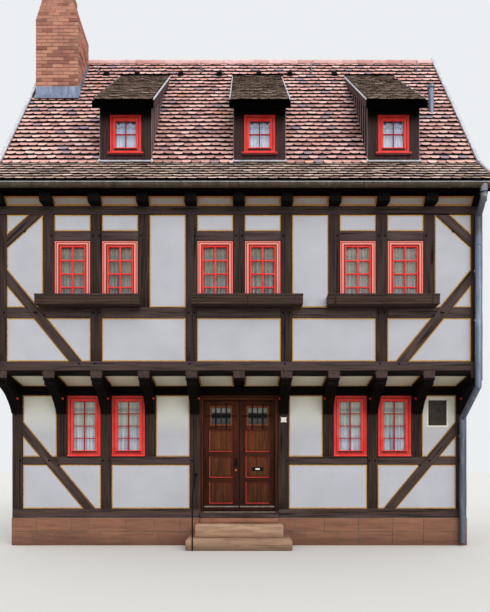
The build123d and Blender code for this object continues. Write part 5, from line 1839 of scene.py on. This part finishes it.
class HOUSE_OT_door(bpy.types.Operator):
    """Finish the entrance: panels, beads, casings, ironwork, grilles and handrail"""

    bl_idname = "house.door"
    bl_label = "Entrance door"

    # Rows of panels in a leaf, from the foot up, and the lines between its edge, stiles and panels
    panel_rows = ((0.813, 1.238), (1.323, 1.748), (1.833, 2.258))
    edge, stile, far_stile, far_edge = 0.012, 0.125, 0.595, 0.698
    weather_board_z = 0.78

    def execute(self, context):
        coat("door_upright", "door_jambs")
        coat("door_across", "door_head")
        coat("iron", "door_hinges", "door_handle", "letter_plate", "handrail")
        coat("obscured_glass", "left_door_glass", "right_door_glass")
        coat("bronze", "plaque")
        for word, side, body in (("left", -1, left_door), ("right", 1, right_door)):
            self.leaf(word, side, body)
            self.beads(word, side, body)
            self.casing(word, side, body)
            bars = copy_of(f"{word}_door_grille", f"{word}_door_bars")
            modified(bars, "DISPLACE", strength=0.008, mid_level=0)
            dress(bars, "dark_iron", "iron", body=body, replaces=f"{word}_door_grille")
        self.surround()
        self.fittings()
        self.sign()
        return {"FINISHED"}

    def leaf(self, word, side, body):
        """The grain of one leaf's wood, by the places of its members."""
        node = f"{word}_door_leaf"
        rail, panel = "door_across", "door_panel"
        piece = copy_of(node, node + "_finished", "door_upright", rail, "dull", panel, "gap")

        def between_stiles(c):
            return self.stile + 0.001 < abs(c.x) < self.far_stile - 0.001

        def in_panel(c):
            return any(low < c.z < high for low, high in self.panel_rows)

        with Bench(piece) as bench:
            for x in (self.edge, self.stile, self.far_stile, self.far_edge):
                bench.cut((side * x, 0, 0), (1, 0, 0))
            bench.mark(rail, lambda c, n: between_stiles(c) and abs(n.y) > 0.5 and not in_panel(c))
            bench.mark(panel, lambda c, n: between_stiles(c) and abs(n.y) > 0.3 and in_panel(c))
            bench.mark("dull", lambda c, n: c.z < self.weather_board_z and n.z > 0.3 and n.y < -0.1)
            # Painted shadow on the leaf's edges and in the crack between the leaves
            bench.mark("gap", lambda c, n: n.y < 0.5 and not self.edge < abs(c.x) < self.far_edge)
        dress(piece, "door_wood", body=body, replaces=node)

    def beads(self, word, side, body):
        """Red beads round the panels of one leaf, with painted shade along their head and right side.
        """
        back, front, parts = -2.234, -2.252, []
        steps = (0.002, 0.003, "bead"), (0.004, 0.0, "bead"), (0.007, -0.016, "bead")
        x0, x1 = sorted((side * self.stile, side * self.far_stile))
        for a, b in self.panel_rows:
            bead = moulded_ring("bead", (x0, front, a), (x1, back, b), steps, ("bead", "bead_dark"))
            foot, head, right = a + 0.02, b - 0.02, x1 - 0.016
            with Bench(bead) as bench:
                # Painted shade on the head and right side of each bead
                bench.mark("bead_dark", lambda c, n: c.z > head or (c.x > right and c.z > foot))
            parts.append(bead)
        dress(join(f"{word}_door_beads", parts), "red_paint", body=body, smooth=30)

    def casing(self, word, side, body):
        """The casing round one leaf's light."""
        middle, half, edge = side * 0.36, 0.185, 0.034
        foot, head, front, back = 2.384, 2.704, -2.256, -2.246
        low = middle - half - edge, front, foot - edge
        high = middle + half + edge, back, head + edge
        look = "door_trim"
        steps = (0.008, 0.004, look), (0.016, 0.0, look), (0.01, -0.006, look)
        piece = moulded_ring(f"{word}_door_casing", low, high, steps, [look])
        dress(piece, "door_wood", body=body, smooth=30)

    def surround(self):
        """A bead round the doorway and a metal strip along the sill."""
        x, y, foot, head = 0.722, -2.321, 0.668, 2.874
        line = (-x, y, foot), (-x, y, head), (x, y, head), (x, y, foot)
        dress(bent_rod("doorway_bead", line, 0.010, 0.05), "door_wood", "door_panel", smooth=60)
        strip = block("sill_strip", (-0.705, -2.404, 0.644), (0.705, -2.34, 0.664))
        with Bench(strip) as bench:
            bench.soften(lambda c, d: abs(d.x) > 0.9 and c.y < -2.4, 0.006, 2)
        dress(strip, "zinc", "dull")

    def fittings(self):
        """Lock rose, letter tab and plaque border."""
        rose = rod("lock_rose", (-0.068, -2.246, 1.47), (-0.068, -2.257, 1.47), 0.026, 20, 0.15)
        dress(rose, "bronze", "brass", body=left_door, smooth=40)
        tab = block("letter_tab", (0.318, -2.258, 1.48), (0.402, -2.252, 1.508))
        with Bench(tab) as bench:
            bench.faces(lambda c, n: n.y < -0.9)
            bench.inset(0.004, 0.002)
        dress(tab, "bronze", "enamel", body=right_door)
        low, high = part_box("plaque")
        edge, depth = 0.032, 0.008
        corners = (low.x - edge, high.y - depth, low.z - edge), (high.x + edge, high.y, high.z + edge)
        look = "enamel"
        steps = (0.006, 0.002, look), (edge - 0.009, 0.0, look), (0.003, -0.001, look)
        dress(moulded_ring("plaque_border", *corners, steps, [look]), "plaster")

    def sign(self):
        """A small bare sign beside the door, with hollow sides."""
        x, z, half_wide, half_high, front, back, hollow = 0.869, 2.461, 0.062, 0.052, -2.349, -2.34, 0.2
        sign = block("small_sign", (-half_wide, front, -half_high), (half_wide, back, half_high))
        with Bench(sign) as bench:
            bench.slices(0, -half_wide, half_wide, half_wide / 5)
            bench.slices(2, -half_high, half_high, half_high / 5)
        co = points_of(sign)
        across, up = co[:, 0] / half_wide, co[:, 2] / half_high
        co[:, 0] = x + co[:, 0] * (1 - hollow * (1 - up * up))
        co[:, 2] = z + co[:, 2] * (1 - hollow * 0.6 * (1 - across * across))
        move_points(sign, co)
        dress(sign, "zinc", "enamel")


class HOUSE_OT_flower_boxes(bpy.types.Operator):
    """Board the flower boxes, fill them with soil and hold their boards with cleats"""

    bl_idname = "house.flower_boxes"
    bl_label = "Flower boxes"

    def execute(self, context):
        self.troughs()
        self.boards()
        return {"FINISHED"}

    def troughs(self):
        """The boxes themselves, with crumbling soil inside their rims."""
        piece = copy_of("flower_boxes", "flower_troughs", "trough", "soil")
        low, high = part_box("flower_boxes")
        with Bench(piece) as bench:
            bench.mark("soil", lambda c, n: n.z > 0.9 and c.z < high.z - 0.01)
            bench.inset(0.02, 0.008, each=True)
            bench.slices(0, low.x, high.x, 0.3)
        give_grain(piece, 71)
        dress(piece, "box_brown", replaces="flower_boxes")

    def boards(self):
        """Two boards and a lip along the front of each box, held by cleats."""
        front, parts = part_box("flower_boxes")[0].y + 0.004, []
        end_gap, spacing, cleat_half, board_half = 0.12, 0.8, 0.02, 0.026
        for a, b in part_boxes("flower_boxes"):
            for z in (a.z + 0.06, a.z + 0.12):
                corners = (a.x, a.y - 0.004, z - board_half), (b.x, a.y + 0.01, z + board_half)
                parts.append(block("groove", *corners))
            corners = (a.x - 0.006, a.y - 0.008, b.z - 0.028), (b.x + 0.006, a.y + 0.016, b.z + 0.004)
            parts.append(block("lip", *corners))
            count = max(2, round((b.x - a.x) / spacing))
            for n in range(count + 1):
                x = a.x + end_gap + (b.x - a.x - 2 * end_gap) * n / count
                low = x - cleat_half, a.y - 0.012, a.z - 0.004
                parts.append(block("cleat", low, (x + cleat_half, a.y + 0.006, b.z - 0.03)))
        for part in parts:
            with Bench(part) as bench:
                bench.soften(lambda c, d: c.y < front, 0.003)
        boards = join("flower_box_boards", parts)
        give_grain(boards, 72)
        dress(boards, "box_brown", "trough")


class HOUSE_PT_panel(bpy.types.Panel):
    """Lists the house's pieces"""

    bl_label = "Half timbered house"
    bl_idname = "HOUSE_PT_panel"
    bl_space_type = "VIEW_3D"
    bl_region_type = "UI"
    bl_category = "House"

    def draw(self, context):
        for step in steps:
            self.layout.operator(step.bl_idname)
        for group in (context.scene.house_sizes, context.scene.house_colours):
            for key in group.__annotations__:
                self.layout.prop(group, key)


steps = (
    HOUSE_OT_stage,
    HOUSE_OT_masonry,
    HOUSE_OT_timber_frame,
    HOUSE_OT_panels,
    HOUSE_OT_windows,
    HOUSE_OT_curtains,
    HOUSE_OT_roof,
    HOUSE_OT_dormers,
    HOUSE_OT_chimney,
    HOUSE_OT_drainage,
    HOUSE_OT_door,
    HOUSE_OT_flower_boxes,
)
classes = (HouseColours, HouseSizes, *steps, HOUSE_PT_panel)


def register():
    for cls in classes:
        bpy.utils.register_class(cls)
    bpy.types.Scene.house_colours = PointerProperty(type=HouseColours)
    bpy.types.Scene.house_sizes = PointerProperty(type=HouseSizes)


def unregister():
    del bpy.types.Scene.house_sizes
    del bpy.types.Scene.house_colours
    for cls in reversed(classes):
        bpy.utils.unregister_class(cls)


def main():
    """Build every group in order."""
    register()
    for step in steps:
        group, name = step.bl_idname.split(".")
        getattr(getattr(bpy.ops, group), name)()
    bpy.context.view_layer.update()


if __name__ == "__main__":
    main()
